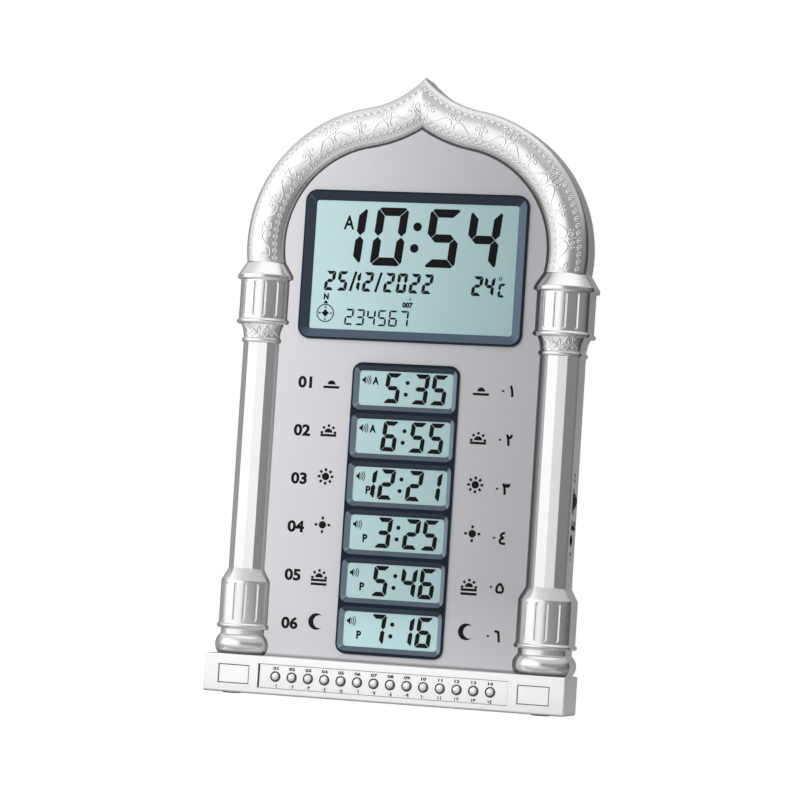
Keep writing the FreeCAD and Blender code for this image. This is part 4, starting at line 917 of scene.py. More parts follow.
@dataclass(frozen=True)
class SegmentFigure:
    """A seven-segment figure with mitred segments, cut corners and a lean to the right.

    Attributes:
        width: width of the figure.
        height: height of the figure.
        stroke: thickness of a segment.
        gap: light joint between two segments.
        lean: sideways shift per height.
        spread: distance of a colon's dots from the middle as a share of the height.
        corner: cut of an outer corner as a share of the stroke.
        slash_lean: sideways shift of a slash as a share of the height.
        slash_stroke: line width of a slash as a share of the stroke.
    """

    width: float
    height: float
    stroke: float
    gap: float
    lean: float = 0.1
    spread: float = 0.2
    corner: float = 0.45
    slash_lean: float = 0.28
    slash_stroke: float = 0.75

    LIT = {"0": "abcdef", "1": "bc", "2": "abdeg", "3": "abcdg", "4": "bcfg", "5": "acdfg", "6": "acdefg",
           "7": "abc", "8": "abcdefg", "9": "abcdfg", "C": "adef"}

    def segments(self) -> dict[str, np.ndarray]:
        """Outlines of the seven segments about the figure's lower left corner, before the lean.

        The joints run at 45 degrees from the cut outer corners to the inner corners, and the waist's
        joints run from the middle of each side's thickness. The lower half mirrors the upper one.
        """
        w, h, t, q = self.width, self.height, self.stroke, self.gap / math.sqrt(8)
        cut, waist, half = self.corner * t, h / 2, t / 2
        top = np.array([(cut, h), (w - cut, h), (w - cut / 2 - q, h - cut / 2 + q), (w - t - 2 * q, h - t),
                        (t + 2 * q, h - t), (cut / 2 + q, h - cut / 2 + q)])
        right = np.array([(w, h - cut), (w - cut / 2 + q, h - cut / 2 - q), (w - t, h - t - 2 * q),
                          (w - t, waist + half + 2 * q), (w - half, waist + 2 * q),
                          (w, waist + half + 2 * q)])
        bar = np.array([(half + 2 * q, waist), (t + 2 * q, waist + half), (w - t - 2 * q, waist + half),
                        (w - half - 2 * q, waist), (w - t - 2 * q, waist - half), (t + 2 * q, waist - half)])
        down, across = np.array([0, h]), np.array([w, 0])
        flip_z, flip_x = np.array([1, -1]), np.array([-1, 1])
        return {"a": top, "d": down + flip_z * top, "g": bar, "b": right, "c": down + flip_z * right,
                "f": across + flip_x * right, "e": down + across - right}

    def outlines(self, figure: str, x: float, z: float) -> list[np.ndarray]:
        """Outlines of one lit figure.

        Args:
            figure: which figure to show.
            x: middle of the figure at half its height.
            z: its base line.

        Returns:
            One outline per lit segment.
        """
        parts = self.segments()
        origin = np.array([x - self.width / 2 - self.lean * self.height / 2, z])
        slant = np.array([[1, 0], [self.lean, 1]])
        return [origin + parts[name] @ slant for name in self.LIT[figure]]

    def colon(self, x: float, z: float, radius: float) -> list[np.ndarray]:
        """Two dots above and below the middle."""
        reach = self.spread * self.height
        dots = ((x + sign * self.lean * reach, z + self.height / 2 + sign * reach) for sign in (-1, 1))
        return [disc(dot, radius) for dot in dots]

    def slash(self, x: float, z: float) -> np.ndarray:
        """A leaning stroke through the whole height."""
        reach = self.slash_lean * self.height / 2
        path = np.array([(x - reach, z), (x, z + self.height / 2), (x + reach, z + self.height)])
        return ribbon(path, self.slash_stroke * self.stroke)


@dataclass(frozen=True)
class Run:
    """A run of segment figures on one base line.

    Attributes:
        face: their face.
        text: the figures.
        base: their base line.
        middles: middle of each figure.
    """

    face: SegmentFigure
    text: str
    base: float
    middles: tuple[float, ...]

    def draw(self, out: Print) -> None:
        """Adds the figures to a print."""
        for figure, x in zip(self.text, self.middles):
            out.add(*self.face.outlines(figure, x, self.base))


EASTERN_WIDTH = 0.6  # width of an eastern figure as a share of its height
EASTERN_PITCH = 0.78  # distance between two of them as a share of their height

# Strokes of the eastern figures in a cell as wide as that and 1 high.
EASTERN_STROKES = {
    "0": [[(0.3, 0.42), (0.3, 0.58)]],
    "1": [[(0.2, 1.0), (0.34, 0.6), (0.38, 0.0)]],
    "2": [[(0.12, 1.0), (0.27, 0.6), (0.3, 0.0)], [(0.17, 0.86), (0.36, 0.68), (0.52, 0.78), (0.56, 1.0)]],
    "3": [[(0.06, 1.0), (0.2, 0.6), (0.24, 0.0)], [(0.1, 0.86), (0.22, 0.72), (0.34, 0.76), (0.36, 0.98)],
          [(0.36, 0.84), (0.46, 0.72), (0.58, 0.78), (0.6, 1.0)]],
    "4": [[(0.5, 1.0), (0.12, 0.84), (0.16, 0.6), (0.42, 0.54)],
          [(0.42, 0.54), (0.06, 0.4), (0.06, 0.04), (0.56, 0.02)]],
    "5": [[(0.32, 0.86), (0.02, 0.5), (0.04, 0.06), (0.32, 0.06)],
          [(0.32, 0.86), (0.62, 0.5), (0.6, 0.06), (0.32, 0.06)]],
    "6": [[(0.08, 0.96), (0.44, 0.92), (0.44, 0.92), (0.54, 0.0)]],
    "7": [[(0.04, 1.0), (0.22, 0.6), (0.32, 0.0)], [(0.6, 1.0), (0.42, 0.6), (0.32, 0.0)]],
    "8": [[(0.04, 0.0), (0.22, 0.4), (0.32, 1.0)], [(0.6, 0.0), (0.42, 0.4), (0.32, 1.0)]],
    "9": [[(0.5, 0.8), (0.46, 0.5), (0.08, 0.5), (0.08, 0.96), (0.44, 1.04), (0.5, 0.8)],
          [(0.5, 0.8), (0.5, 0.5), (0.56, 0.0)]],
}


def eastern_number(text: str, x: float, z: float, height: float, width: float) -> list[np.ndarray]:
    """Outlines of a number in eastern figures.

    Args:
        text: the number in plain figures.
        x: middle of the number.
        z: its base line.
        height: height of a figure.
        width: line width.

    Returns:
        One outline per stroke.
    """
    pitch = EASTERN_PITCH * height
    start = x - pitch * len(text) / 2 + (EASTERN_PITCH - EASTERN_WIDTH) / 2 * height
    return [ribbon(chaikin(np.array(stroke)) * height + (start + pitch * order, z), width)
            for order, figure in enumerate(text) for stroke in EASTERN_STROKES[figure]]


class SkySign(Enum):
    """Where the sun stands at each of the six times."""

    DAWN = 1
    SUNRISE = 2
    NOON = 3
    AFTERNOON = 4
    SUNSET = 5
    NIGHT = 6


def sky_sign(sign: SkySign, x: float, z: float, radius: float) -> list[np.ndarray]:
    """Pictogram of the sky at one of the six times, of discs, rays, horizon lines and a crescent.

    Args:
        sign: the time.
        x: middle of the pictogram.
        z: its lowest line.
        radius: half its width.

    Returns:
        Its outlines.
    """
    line = 0.3 * radius
    horizon = ribbon(np.array([(x + way * radius, z + line / 2) for way in (-1, 0, 1)]), line)
    if sign is SkySign.NIGHT:
        outer = arc((x, z + radius), radius, 50, 310, 30)
        inner = arc((x + 0.42 * radius, z + radius), 0.78 * radius, 292, 68, 30)
        return [np.concatenate([outer, inner])]
    low = sign in (SkySign.DAWN, SkySign.SUNRISE, SkySign.SUNSET)
    middle = z + (line * 1.6 if low else radius)
    core = (0.5 if low else 0.46) * radius
    body = arc((x, middle), core, 0, 180, 20) if low else disc((x, middle), core)
    turns = np.linspace(0, 180, 5) if low else np.linspace(0, 315, 8)
    rays = []
    for turn in np.radians(turns):
        way = np.array([math.cos(turn), math.sin(turn)])
        reach = [core + 0.18 * radius, 0.5 * (core + 1.18 * radius), radius]
        rays.append(ribbon(np.array([(x, middle) + way * step for step in reach]), line))
    kept = {SkySign.DAWN: [], SkySign.AFTERNOON: rays[::2]}.get(sign, rays)
    extra = [horizon] if low else []
    if sign is SkySign.SUNSET:
        extra.append(horizon + (0, -1.6 * line))
    return [body, *kept, *extra]


# ---- the arch


@dataclass(frozen=True)
class Cord:
    """The raised cord of a pattern.

    Attributes:
        half: half the width of the cord.
        rise: height of the cord.
        reach: half the width of the band that the pattern fills.
    """

    half: float
    rise: float
    reach: float


@dataclass(frozen=True)
class Emboss:
    """A repeating relief of cords, kept as a table of heights over one period.

    Attributes:
        period: length of one repeat.
        cord: the cord's section and the reach of its band.
        strokes: centre lines of the cords.
        step: spacing of the table.
        batch: points of the strokes that are measured at a time.
    """

    period: float
    cord: Cord
    strokes: tuple[np.ndarray, ...]
    step: float = 0.08
    batch: int = 400

    def table(self) -> np.ndarray:
        """Heights over one period: a rounded cord, rise times 1 - (d / half) squared, about every stroke.

        d is the distance to the nearest point of the strokes and their neighbours one period away.
        """
        along = np.arange(0, self.period, self.step)
        across = np.arange(-self.cord.reach, self.cord.reach + self.step, self.step)
        line = np.concatenate([dense(np.asarray(stroke), self.step) for stroke in self.strokes])
        heights = np.zeros((len(along), len(across)))
        for shift in (-self.period, 0, self.period):
            for start in range(0, len(line), self.batch):
                part = line[start:start + self.batch] + (shift, 0)
                gap = np.hypot(along[:, None, None] - part[:, 0], across[None, :, None] - part[:, 1])
                heights = np.maximum(heights, 1 - (gap.min(axis=2) / self.cord.half) ** 2)
        return self.cord.rise * heights

    def at(self, along: np.ndarray, across: np.ndarray) -> np.ndarray:
        """Heights at pattern coordinates, read from the table between its four nearest values."""
        table = self.table()
        rows, columns = table.shape
        u = np.mod(along, self.period) / self.step
        v = np.clip((across + self.cord.reach) / self.step, 0, columns - 1.001)
        i, j = np.floor(u).astype(int) % rows, np.floor(v).astype(int)
        fu, fv = u - np.floor(u), v - j
        k = (i + 1) % rows
        low = table[i, j] * (1 - fu) + table[k, j] * fu
        high = table[i, j + 1] * (1 - fu) + table[k, j + 1] * fu
        return np.where(np.abs(across) < self.cord.reach, low * (1 - fv) + high * fv, 0)


def dense(path: np.ndarray, step: float) -> np.ndarray:
    """Points along a polyline at an even spacing."""
    lengths = np.concatenate([[0], np.cumsum(np.linalg.norm(np.diff(path, axis=0), axis=1))])
    count = max(2, int(lengths[-1] / step) + 1)
    at = np.linspace(0, lengths[-1], count)
    return np.stack([np.interp(at, lengths, path[:, k]) for k in (0, 1)], axis=1)


def spiral(centre: tuple[float, float], radii: tuple[float, float], start: float, turn: float,
           ease: float = 0.8, count: int = 60) -> np.ndarray:
    """A curl whose radius shrinks while it turns: by the share of the turn raised to the ease.

    Args:
        centre: its middle.
        radii: radius at the start and at the end.
        start: angle of the start in degrees.
        turn: how far it turns in degrees.
        ease: exponent of the share.
        count: number of points.

    Returns:
        The points.
    """
    share = np.linspace(0, 1, count)
    angle = np.radians(start + turn * share)
    radius = radii[0] + (radii[1] - radii[0]) * share ** ease
    return np.stack([centre[0] + radius * np.cos(angle), centre[1] + radius * np.sin(angle)], axis=1)


@dataclass
class Arch:
    """The keel arch: two limbs of half-elliptic section with a scrolled crest and rows of curls.

    Attributes:
        width: width of the section.
        rise: how far the crest stands in front of the seam.
        seam: depth of the seam that the arch sits on.
        haunch_radius: radius of the haunch at the middle of the section.
        stilt: how far the haunch centre stands above the spring.
        turn: angle, in degrees, where the haunch passes into the keel.
        keel_radius: radius of the keel at the middle of the section.
        column_x: distance of the column's axis from the middle.
        spring: height where the limbs leave the columns.
        rows: number of points along a limb.
        fine_columns: number of points across the decorated part of the section.
        vine_period: length of one repeat of the scroll.
        first_bloom: length from the spring to the scroll's first bloom.
        ring_rows: lengths across from the crest to the inner and the outer row of rings.
        ring_pitch: distance between two rings of a row.
        ring_radii: radius of a ring and of the curl's end in its middle.
        ring_turns: angle where a ring starts and how far it turns, in degrees.
        vine_cord: cord of the scroll.
        ring_cord: cord of the rings.
        margin: how far the fine part of the section reaches past the two rows.
        fade: length at each end of a limb over which the relief fades.
    """

    width: float = 23.5
    rise: float = 7.0
    seam: float = SEAM_DEPTH
    haunch_radius: float = 72.4
    stilt: float = 11.2
    turn: float = 80.0
    keel_radius: float = 73.6
    column_x: float = COLUMN_X
    spring: float = Extent.of("arch_moulding").low.z
    rows: int = 760
    fine_columns: int = 104
    vine_period: float = 35.4
    first_bloom: float = 19.3
    ring_rows: tuple[float, float] = RING_ROWS
    ring_pitch: float = 4.25
    ring_radii: tuple[float, float] = (1.8, 0.4)
    ring_turns: tuple[float, float] = (-170, 440)
    vine_cord: Cord = Cord(0.44, 0.15, 7.0)
    ring_cord: Cord = Cord(0.38, 0.28, 2.4)
    margin: float = 2.6
    fade: float = 0.6

    def centres(self) -> tuple[np.ndarray, np.ndarray]:
        """Centres of the haunch and of the keel: the keel's lies beyond the joint on the same ray."""
        across = math.sqrt(self.haunch_radius ** 2 - self.stilt ** 2)
        haunch = np.array([self.column_x - across, self.spring + self.stilt])
        ray = np.array([math.cos(math.radians(self.turn)), math.sin(math.radians(self.turn))])
        return haunch, haunch + ray * (self.haunch_radius + self.keel_radius)

    def path(self, across: np.ndarray, share: np.ndarray) -> tuple[np.ndarray, ...]:
        """Follows one limb from the spring to the mitre.

        The haunch is an arc about its centre, and the keel is an arc the other way about its own.
        Each line at an even distance across starts on the spring's level and ends on the middle plane.

        Args:
            across: distance outwards from the middle line.
            share: 0 at the spring, 1 at the mitre.

        Returns:
            x, z, the angle of the outward direction and the length along the middle line.
        """
        haunch, keel = self.centres()
        turn = math.radians(self.turn)
        start = -np.arcsin(self.stilt / (self.haunch_radius + across))
        end = np.arccos(keel[0] / (self.keel_radius - across))
        middle_start = -math.asin(self.stilt / self.haunch_radius)
        middle_end = math.acos(keel[0] / self.keel_radius)
        lengths = self.haunch_radius * (turn - middle_start), self.keel_radius * (turn - middle_end)
        joint = lengths[0] / sum(lengths)
        first = start + (turn - start) * share / joint
        second = turn - (turn - end) * (share - joint) / (1 - joint)
        on_haunch = share <= joint
        angle = np.where(on_haunch, first, second)
        radius = np.where(on_haunch, self.haunch_radius + across, across - self.keel_radius)
        x = np.where(on_haunch, haunch[0], keel[0]) + radius * np.cos(angle)
        z = np.where(on_haunch, haunch[1], keel[1]) + radius * np.sin(angle)
        length = np.where(on_haunch, self.haunch_radius * (angle - middle_start),
                          lengths[0] + self.keel_radius * (turn - angle))
        return x, z, angle, length

    def run(self, across: float, share: np.ndarray) -> np.ndarray:
        """Length along a line at an even distance across, from the spring.

        It is the line's radius on the haunch times the angle turned there, and its radius on the
        keel times the angle turned back.
        """
        angle = self.path(np.array(across), share)[2]
        turn, start = math.radians(self.turn), -math.asin(self.stilt / (self.haunch_radius + across))
        haunch = (self.haunch_radius + across) * (np.minimum(angle, turn) - start)
        _, _, _, length = self.path(np.array(0.0), share)
        joint = self.haunch_radius * (turn + math.asin(self.stilt / self.haunch_radius))
        keel = (self.keel_radius - across) * (turn - angle)
        return np.where(length <= joint, haunch, (self.haunch_radius + across) * (turn - start) + keel)

    def vine(self) -> Emboss:
        """The crest's running scroll, in halves that mirror about each bloom.

        A stem hooks under itself beside the bloom, swings down to a trough and curls back into an
        eye. The bloom is a stalk between two curled leaves, and a sprig stands between two eyes.
        """
        half = self.vine_period / 2
        stem = chaikin(np.array([(4.0, -3.4), (2.8, -4.6), (1.1, -3.8), (0.7, -1.2), (2.3, 0.8), (5.2, 1.0),
                                 (8.2, -1.4), (10.8, -4.2), (13.9, -4.8), (half - 1.0, -4.2),
                                 (half - 0.5, -1.6), (half - 0.9, 0.9), (15.0, 1.6), (13.6, 0.5),
                                 (14.6, -0.8), (15.6, -0.1)]))
        leaf = chaikin(np.array([(0.6, 1.5), (2.6, 1.6), (3.7, 3.4), (2.7, 5.2), (1.5, 4.6), (2.1, 3.6)]))
        sprig = np.array([(half - 0.5, 1.4), (half - 0.7, 2.2), (half - 1.3, 3.2)])
        drops = [np.array([(x, z), (x + 0.3, z + 0.1)]) for x, z in ((5.0, 3.3), (4.6, 5.0))]
        stalk = np.array([(0.0, 1.9), (0.1, 4.4), (0.3, 6.4)])
        strokes = [part * (sign, 1) for sign in (-1, 1) for part in (stem, leaf, sprig, *drops)]
        return Emboss(self.vine_period, self.vine_cord, (*strokes, stalk))

    def rings(self, period: float) -> Emboss:
        """A row of rings, each a cord that curls once round and into its own middle."""
        return Emboss(period, self.ring_cord, (spiral((period / 2, 0.0), self.ring_radii, *self.ring_turns),))

    def section(self) -> tuple[np.ndarray, np.ndarray]:
        """Angles round the half ellipse and their lengths across from the crest.

        The points are evenly spaced along the ellipse where it is decorated, and sparse beyond.
        """
        t = np.linspace(0, math.pi, 600)
        speed = np.hypot(self.width / 2 * np.sin(t), self.rise * np.cos(t))
        girth = np.concatenate([[0], np.cumsum((speed[1:] + speed[:-1]) / 2 * np.diff(t))])
        girth -= girth[-1] / 2
        inner, outer = self.ring_rows[0] - self.margin, self.ring_rows[1] + self.margin
        across = np.concatenate([np.linspace(girth[0], inner, 6)[:-1],
                                 np.linspace(inner, outer, self.fine_columns),
                                 np.linspace(outer, girth[-1], 5)[1:]])
        return np.interp(across, girth, t), across

    def limb(self, side: Side) -> bpy.types.Object:
        """Builds one limb of the arch.

        Across, the section is half an ellipse: distance outwards -(width / 2) cos t and height
        rise sin t. The relief pushes each point out along the ellipse's normal, and fades at the ends.

        Args:
            side: which limb.

        Returns:
            The new piece.
        """
        half = self.width / 2
        share = np.linspace(0, 1, self.rows)[:, None]
        t, across = (part[None, :] for part in self.section())
        out, up = -half * np.cos(t), self.rise * np.sin(t)
        normal = np.stack([out / half ** 2, up / self.rise ** 2])
        normal /= np.linalg.norm(normal, axis=0)
        along = self.path(out, share)[3]
        relief = self.vine().at(along - self.first_bloom, across)
        for middle in self.ring_rows:
            line = float(np.interp(middle, across[0], out[0]))
            run = self.run(line, share)
            length = run[-1, 0]
            row = self.rings(length / round(length / self.ring_pitch))
            relief = relief + row.at(run, across - middle)
        relief = relief * np.clip(np.minimum(share, 1 - share) * along[-1, 0] / self.fade, 0, 1)
        x, z, _, _ = self.path(out + relief * normal[0], share)
        x = np.where(share >= 1, 0.0, x)
        depth = self.seam - up - relief * normal[1] + 0 * share
        surface = Surface(f"arch_{side.name.lower()}")
        points = place(side.value * x, depth, z)
        track = np.stack(np.broadcast_arrays(along, across), axis=-1)
        surface.half_shell(points, track, relief / self.ring_cord.rise)
        return surface.build()

    def build(self, finishes: Finishes) -> None:
        """Builds and dresses both limbs."""
        for side in Side:
            enter(self.limb(side), "silver_moulding", finishes["arch"], "arch_moulding")


# ---- the columns


@dataclass(frozen=True)
class Bow:
    """An arc of a turned profile, through a point at its bulge to its end."""

    bulge: tuple[float, float]
    end: tuple[float, float]


def bow_points(start: tuple[float, float], bow: Bow, count: int = 24) -> np.ndarray:
    """Points of the circle through a start, a bulge and an end.

    The centre has equal distance to the three points, which is a pair of linear equations. The arc
    runs from the start to the end through the bulge.
    """
    a, b, c = (np.array(point, float) for point in (start, bow.bulge, bow.end))
    sides = 2 * np.array([b - a, c - a])
    centre = np.linalg.solve(sides, np.array([b @ b - a @ a, c @ c - a @ a]))
    radius = np.linalg.norm(a - centre)
    angles = [math.atan2(*(point - centre)[::-1]) for point in (a, b, c)]
    first, middle, last = np.unwrap(angles)
    if not min(first, last) <= middle <= max(first, last):
        last += math.copysign(2 * math.pi, first - last)
    turn = np.linspace(first, last, count)
    return centre + radius * np.stack([np.cos(turn), np.sin(turn)], axis=1)


def turned_profile(start: tuple[float, float], *moves: tuple[float, float] | Bow, step: float = 0.25,
                   soften: float = 0.7) -> np.ndarray:
    """A turned profile as evenly spaced (half width, height) points with softened corners.

    Args:
        start: first point.
        moves: points reached by straight lines, or bows.
        step: spacing of the points.
        soften: length of the running mean that rounds the corners.

    Returns:
        The points, from the lowest to the highest.
    """
    path = [np.array([start], float)]
    for move in moves:
        here = tuple(path[-1][-1])
        path.append(bow_points(here, move)[1:] if isinstance(move, Bow) else np.array([move], float))
    even = dense(np.concatenate(path), step)
    half = int(soften / step / 2)
    padded = np.pad(even, ((half, half), (0, 0)), mode="reflect", reflect_type="odd")
    kernel = np.ones(2 * half + 1) / (2 * half + 1)
    return np.stack([np.convolve(padded[:, k], kernel, mode="valid") for k in (0, 1)], axis=1)


@dataclass
class Column:
    """A half column: a turned foot, a faceted shaft and a turned capital with a fluted drum each.

    Attributes:
        seam: depth of the seam behind the column.
        setback: how far the turning axis lies behind the seam.
        axis_x: distance of the axis from the clock's middle.
        drum: half width of a drum at the seam.
        flutes: distances of the flutes from the axis.
        flute_radius: radius of the round cutter.
        flute_front: how far the cutter's centre runs in front of the surface.
        columns: number of points round the half column.
        corner: corner of the shaft's section, from the middle of the seam.
        crown: how far the middle of the shaft's front stands out of the seam.
        shoulder_levels: heights of the lower and upper end of the foot's shoulder.
        shoulder_top: half width of the shoulder's upper end at the seam.
        lip: how far the shoulder overlaps the shaft's corners.
        neck: heights of the capital's flared neck.
        foot_flutes: heights of the end centres of the foot's flutes.
        capital_flutes: heights of the end centres of the capital's flutes.
        strap: cord of the neck's strapwork.
        strap_period: length round the neck after which the strapwork would repeat.
        fade: length before the seam over which the relief fades.
        softness: how far the curve at a front corner of the shaft runs down each face.
    """

    seam: float = SEAM_DEPTH
    setback: float = 7.0
    axis_x: float = COLUMN_X
    drum: float = 15.1
    flutes: tuple[float, ...] = (-9.6, -3.0, 3.0, 9.6)
    flute_radius: float = 0.92
    flute_front: float = 0.12
    columns: int = 180
    corner: tuple[float, float] = (5.9, 5.9)
    crown: float = 6.25
    shoulder_levels: tuple[float, float] = (66.4, 73.5)
    shoulder_top: float = 11.1
    lip: float = 0.12
    neck: tuple[float, float] = (211.5, 219.8)
    foot_flutes: tuple[float, float] = (43.6, 64.0)
    capital_flutes: tuple[float, float] = (225.2, 244.2)
    strap: Cord = Cord(0.36, 0.32, 4.15)
    strap_period: float = 60.0
    fade: float = 0.5
    softness: float = 0.6

    def foot_profile(self) -> np.ndarray:
        """Profile of the foot: bulb, neck, ring, drum and shoulder."""
        low, high = self.shoulder_levels
        return turned_profile((14.2, 23.0), Bow((16.4, 28.85), (13.4, 34.7)), (13.4, 38.1), (self.drum, 38.1),
                              Bow((16.15, 39.55), (self.drum, 41.0)), (self.drum, low),
                              (self.shoulder_top, high))

    def capital_profile(self) -> np.ndarray:
        """Profile of the capital: bead, flared neck, ring, drum, brim and roof."""
        low, high = self.neck
        return turned_profile((11.1, 208.5), Bow((12.25, 210.0), (11.1, low)),
                              Bow((11.75, 215.65), (13.25, high)), (self.drum, high),
                              Bow((16.3, 221.25), (self.drum, 222.7)), (self.drum, 246.1), (17.2, 246.7),
                              (17.2, 248.9), (12.0, 257.0))

    def cut(self, angle: np.ndarray, z: np.ndarray, low: float, high: float) -> np.ndarray:
        """Depth of the round-ended flutes.

        Across a flute the depth is sqrt(r^2 - d^2) less the cutter's stand-off, where d is the
        distance along the drum to the flute's middle line between its two end centres.

        Args:
            angle: angles round the axis.
            z: heights.
            low: height of the lower end centre.
            high: height of the upper end centre.

        Returns:
            The depths.
        """
        depth = np.zeros(np.broadcast(angle, z).shape)
        drum = math.hypot(self.drum, self.setback)
        beyond = np.maximum(np.abs(z - (low + high) / 2) - (high - low) / 2, 0)
        for offset in self.flutes:
            gap = np.hypot(drum * (angle - math.asin(offset / drum)), beyond)
            bite = np.sqrt(np.maximum(self.flute_radius ** 2 - gap ** 2, 0)) - self.flute_front
            depth = np.maximum(depth, bite)
        return depth

    def facets(self) -> np.ndarray:
        """Outline of half the shaft's section: from the flank's end over the corner to the crown."""
        return np.array([(Extent.of("right_shaft").size.x / 2, 0), self.corner, (0, self.crown)])

    def shoulder(self, angle: np.ndarray, z: np.ndarray) -> np.ndarray:
        """How far the foot's shoulder stands out of its cone to meet the shaft's corners.

        It is the shaft's radius at an angle less the cone's own at the top, where that is more than
        nothing, times a share that grows evenly from 0 at the drum to 1 at the top.
        """
        low, high = self.shoulder_levels
        edge = dense(self.facets(), 0.1) + (0, self.setback)
        turn, radius = np.arctan2(edge[:, 0], edge[:, 1]), np.hypot(edge[:, 0], edge[:, 1])
        shaft = np.interp(np.abs(angle), turn[::-1], radius[::-1])
        beyond = shaft - math.hypot(self.shoulder_top, self.setback) + self.lip
        above = z >= high + 1
        return np.where(above, 0, np.maximum(beyond, 0) * np.clip((z - low) / (high - low), 0, 1))

    def lattice(self) -> Emboss:
        """Strapwork of the flared neck: crossing diagonals, three hanging ovals and small diamonds."""
        oval = arc((0.0, 0.0), 1.0, 0, 360, 30) * (0.95, 1.75)
        diamond = np.array([(0.0, 1.1), (0.95, 0.0), (0.0, -1.1), (-0.95, 0.0), (0.0, 1.1)])
        strokes = [oval + (0.0, 0.7)]
        for sign in (-1, 1):
            outer = np.array([(11.4, 4.0), (3.8, -3.9)])
            inner = np.array([(5.4, 4.0), (-0.8, -3.9)])
            flank = np.array([(13.2, -3.9), (8.4, 1.0)])
            strokes += [part * (sign, 1) for part in (outer, inner, flank, oval + (4.9, 0.7),
                                                      diamond * 0.8 + (2.7, -2.2), diamond + (8.3, -1.9),
                                                      oval * 0.8 + (9.0, 2.4))]
        middle = (self.strap_period / 2, 0.0)
        return Emboss(self.strap_period, self.strap, tuple(stroke + middle for stroke in strokes))

    def turned(self, name: str, profile: np.ndarray, side: Side, flute: tuple[float, float],
               neck: tuple[float, float] | None = None) -> bpy.types.Object:
        """Sweeps a profile round the axis as far as the seam.

        The radius at a height is hypot(half width, setback). The angle runs to where the circle meets
        the seam, x is radius times its sine and depth is the axis's depth less radius times its cosine.

        Args:
            name: name of the piece.
            profile: (half width, height) points.
            side: which column.
            flute: heights of the two end centres of the flutes.
            neck: heights of the lattice, or None.

        Returns:
            The new piece.
        """
        radius = np.hypot(profile[:, 0], self.setback)[:, None]
        limit = np.arccos(self.setback / radius)
        angle = limit * np.linspace(-1, 1, self.columns)[None, :]
        z = profile[:, 1][:, None] + 0 * angle
        slope = np.gradient(profile, axis=0)
        slope /= np.linalg.norm(slope, axis=1, keepdims=True)
        lean, climb = slope[:, 1][:, None], -slope[:, 0][:, None]
        relief = -self.cut(angle, z, *flute) + self.shoulder(angle, z)
        if neck:
            relief = relief + self.lattice().at(radius * angle + self.strap_period / 2, z - sum(neck) / 2)
        relief = relief * np.clip((limit - np.abs(angle)) * radius / self.fade, 0, 1)
        reach = radius + relief * lean
        x = side.value * self.axis_x + reach * np.sin(angle)
        depth = self.seam + self.setback - reach * np.cos(angle)
        points = place(x, depth, z + relief * climb)
        surface = Surface(name)
        surface.half_shell(points, None, relief)
        return surface.build()

    def shaft(self, side: Side) -> bpy.types.Object:
        """The shaft: a section of two flanks and a slightly crowned front, drawn straight up.

        Each front corner gives way to a short curve that starts a little way down both its faces.
        """
        extent = Extent.of("right_shaft")
        edge, corner, crown = self.facets()
        ways = (crown - corner, edge - corner)
        face, flank = (self.softness * way / np.linalg.norm(way) for way in ways)
        turn = np.array([corner + face, corner, corner + flank])
        right = np.concatenate([chaikin(turn), edge[None]])
        section = np.concatenate([right[::-1] * (-1, 1), crown[None], right])
        levels = np.linspace(extent.low.z, extent.high.z, 12)
        loop = np.concatenate([section, section[:1]])
        x = side.value * self.axis_x + loop[None, :, 0]
        points = place(x, self.seam - loop[None, :, 1], levels[:, None])
        surface = Surface(f"{side.name.lower()}_shaft_dressed")
        surface.grid(points)
        surface.rim(points[0, :-1], points[-1, :-1])
        return surface.build(FACET_ANGLE)

    def build(self, finishes: Finishes) -> None:
        """Builds and dresses the foot, the shaft and the capital of both columns."""
        for side in Side:
            name = side.name.lower()
            foot = self.turned(f"{name}_foot_turned", self.foot_profile(), side, self.foot_flutes)
            enter(foot, "silver_moulding", finishes["foot"], f"{name}_foot")
            enter(self.shaft(side), "silver_moulding", finishes["shaft"], f"{name}_shaft")
            capital = self.turned(f"{name}_capital_turned", self.capital_profile(), side, self.capital_flutes,
                                  self.neck)
            enter(capital, "silver_moulding", finishes["silver_moulding"], f"{name}_capital")


# ---- displays and prints


LARGE = SegmentFigure(19.3, 34.7, 4.95, 0.32, 0.095, 0.185)
MEDIUM = SegmentFigure(6.1, 11.7, 1.95, 0.2, 0.11)
SMALL = SegmentFigure(9.4, 17.9, 2.6, 0.26, 0.1, 0.193)
FINE = SegmentFigure(5.3, 9.6, 1.1, 0.3, 0.06)
UNIT = SegmentFigure(4.4, 8.1, 1.5, 0.15, 0.08)


def evenly(first: float, pitch: float, count: int) -> tuple[float, ...]:
    """Middles at an even pitch."""
    return tuple(first + pitch * order for order in range(count))


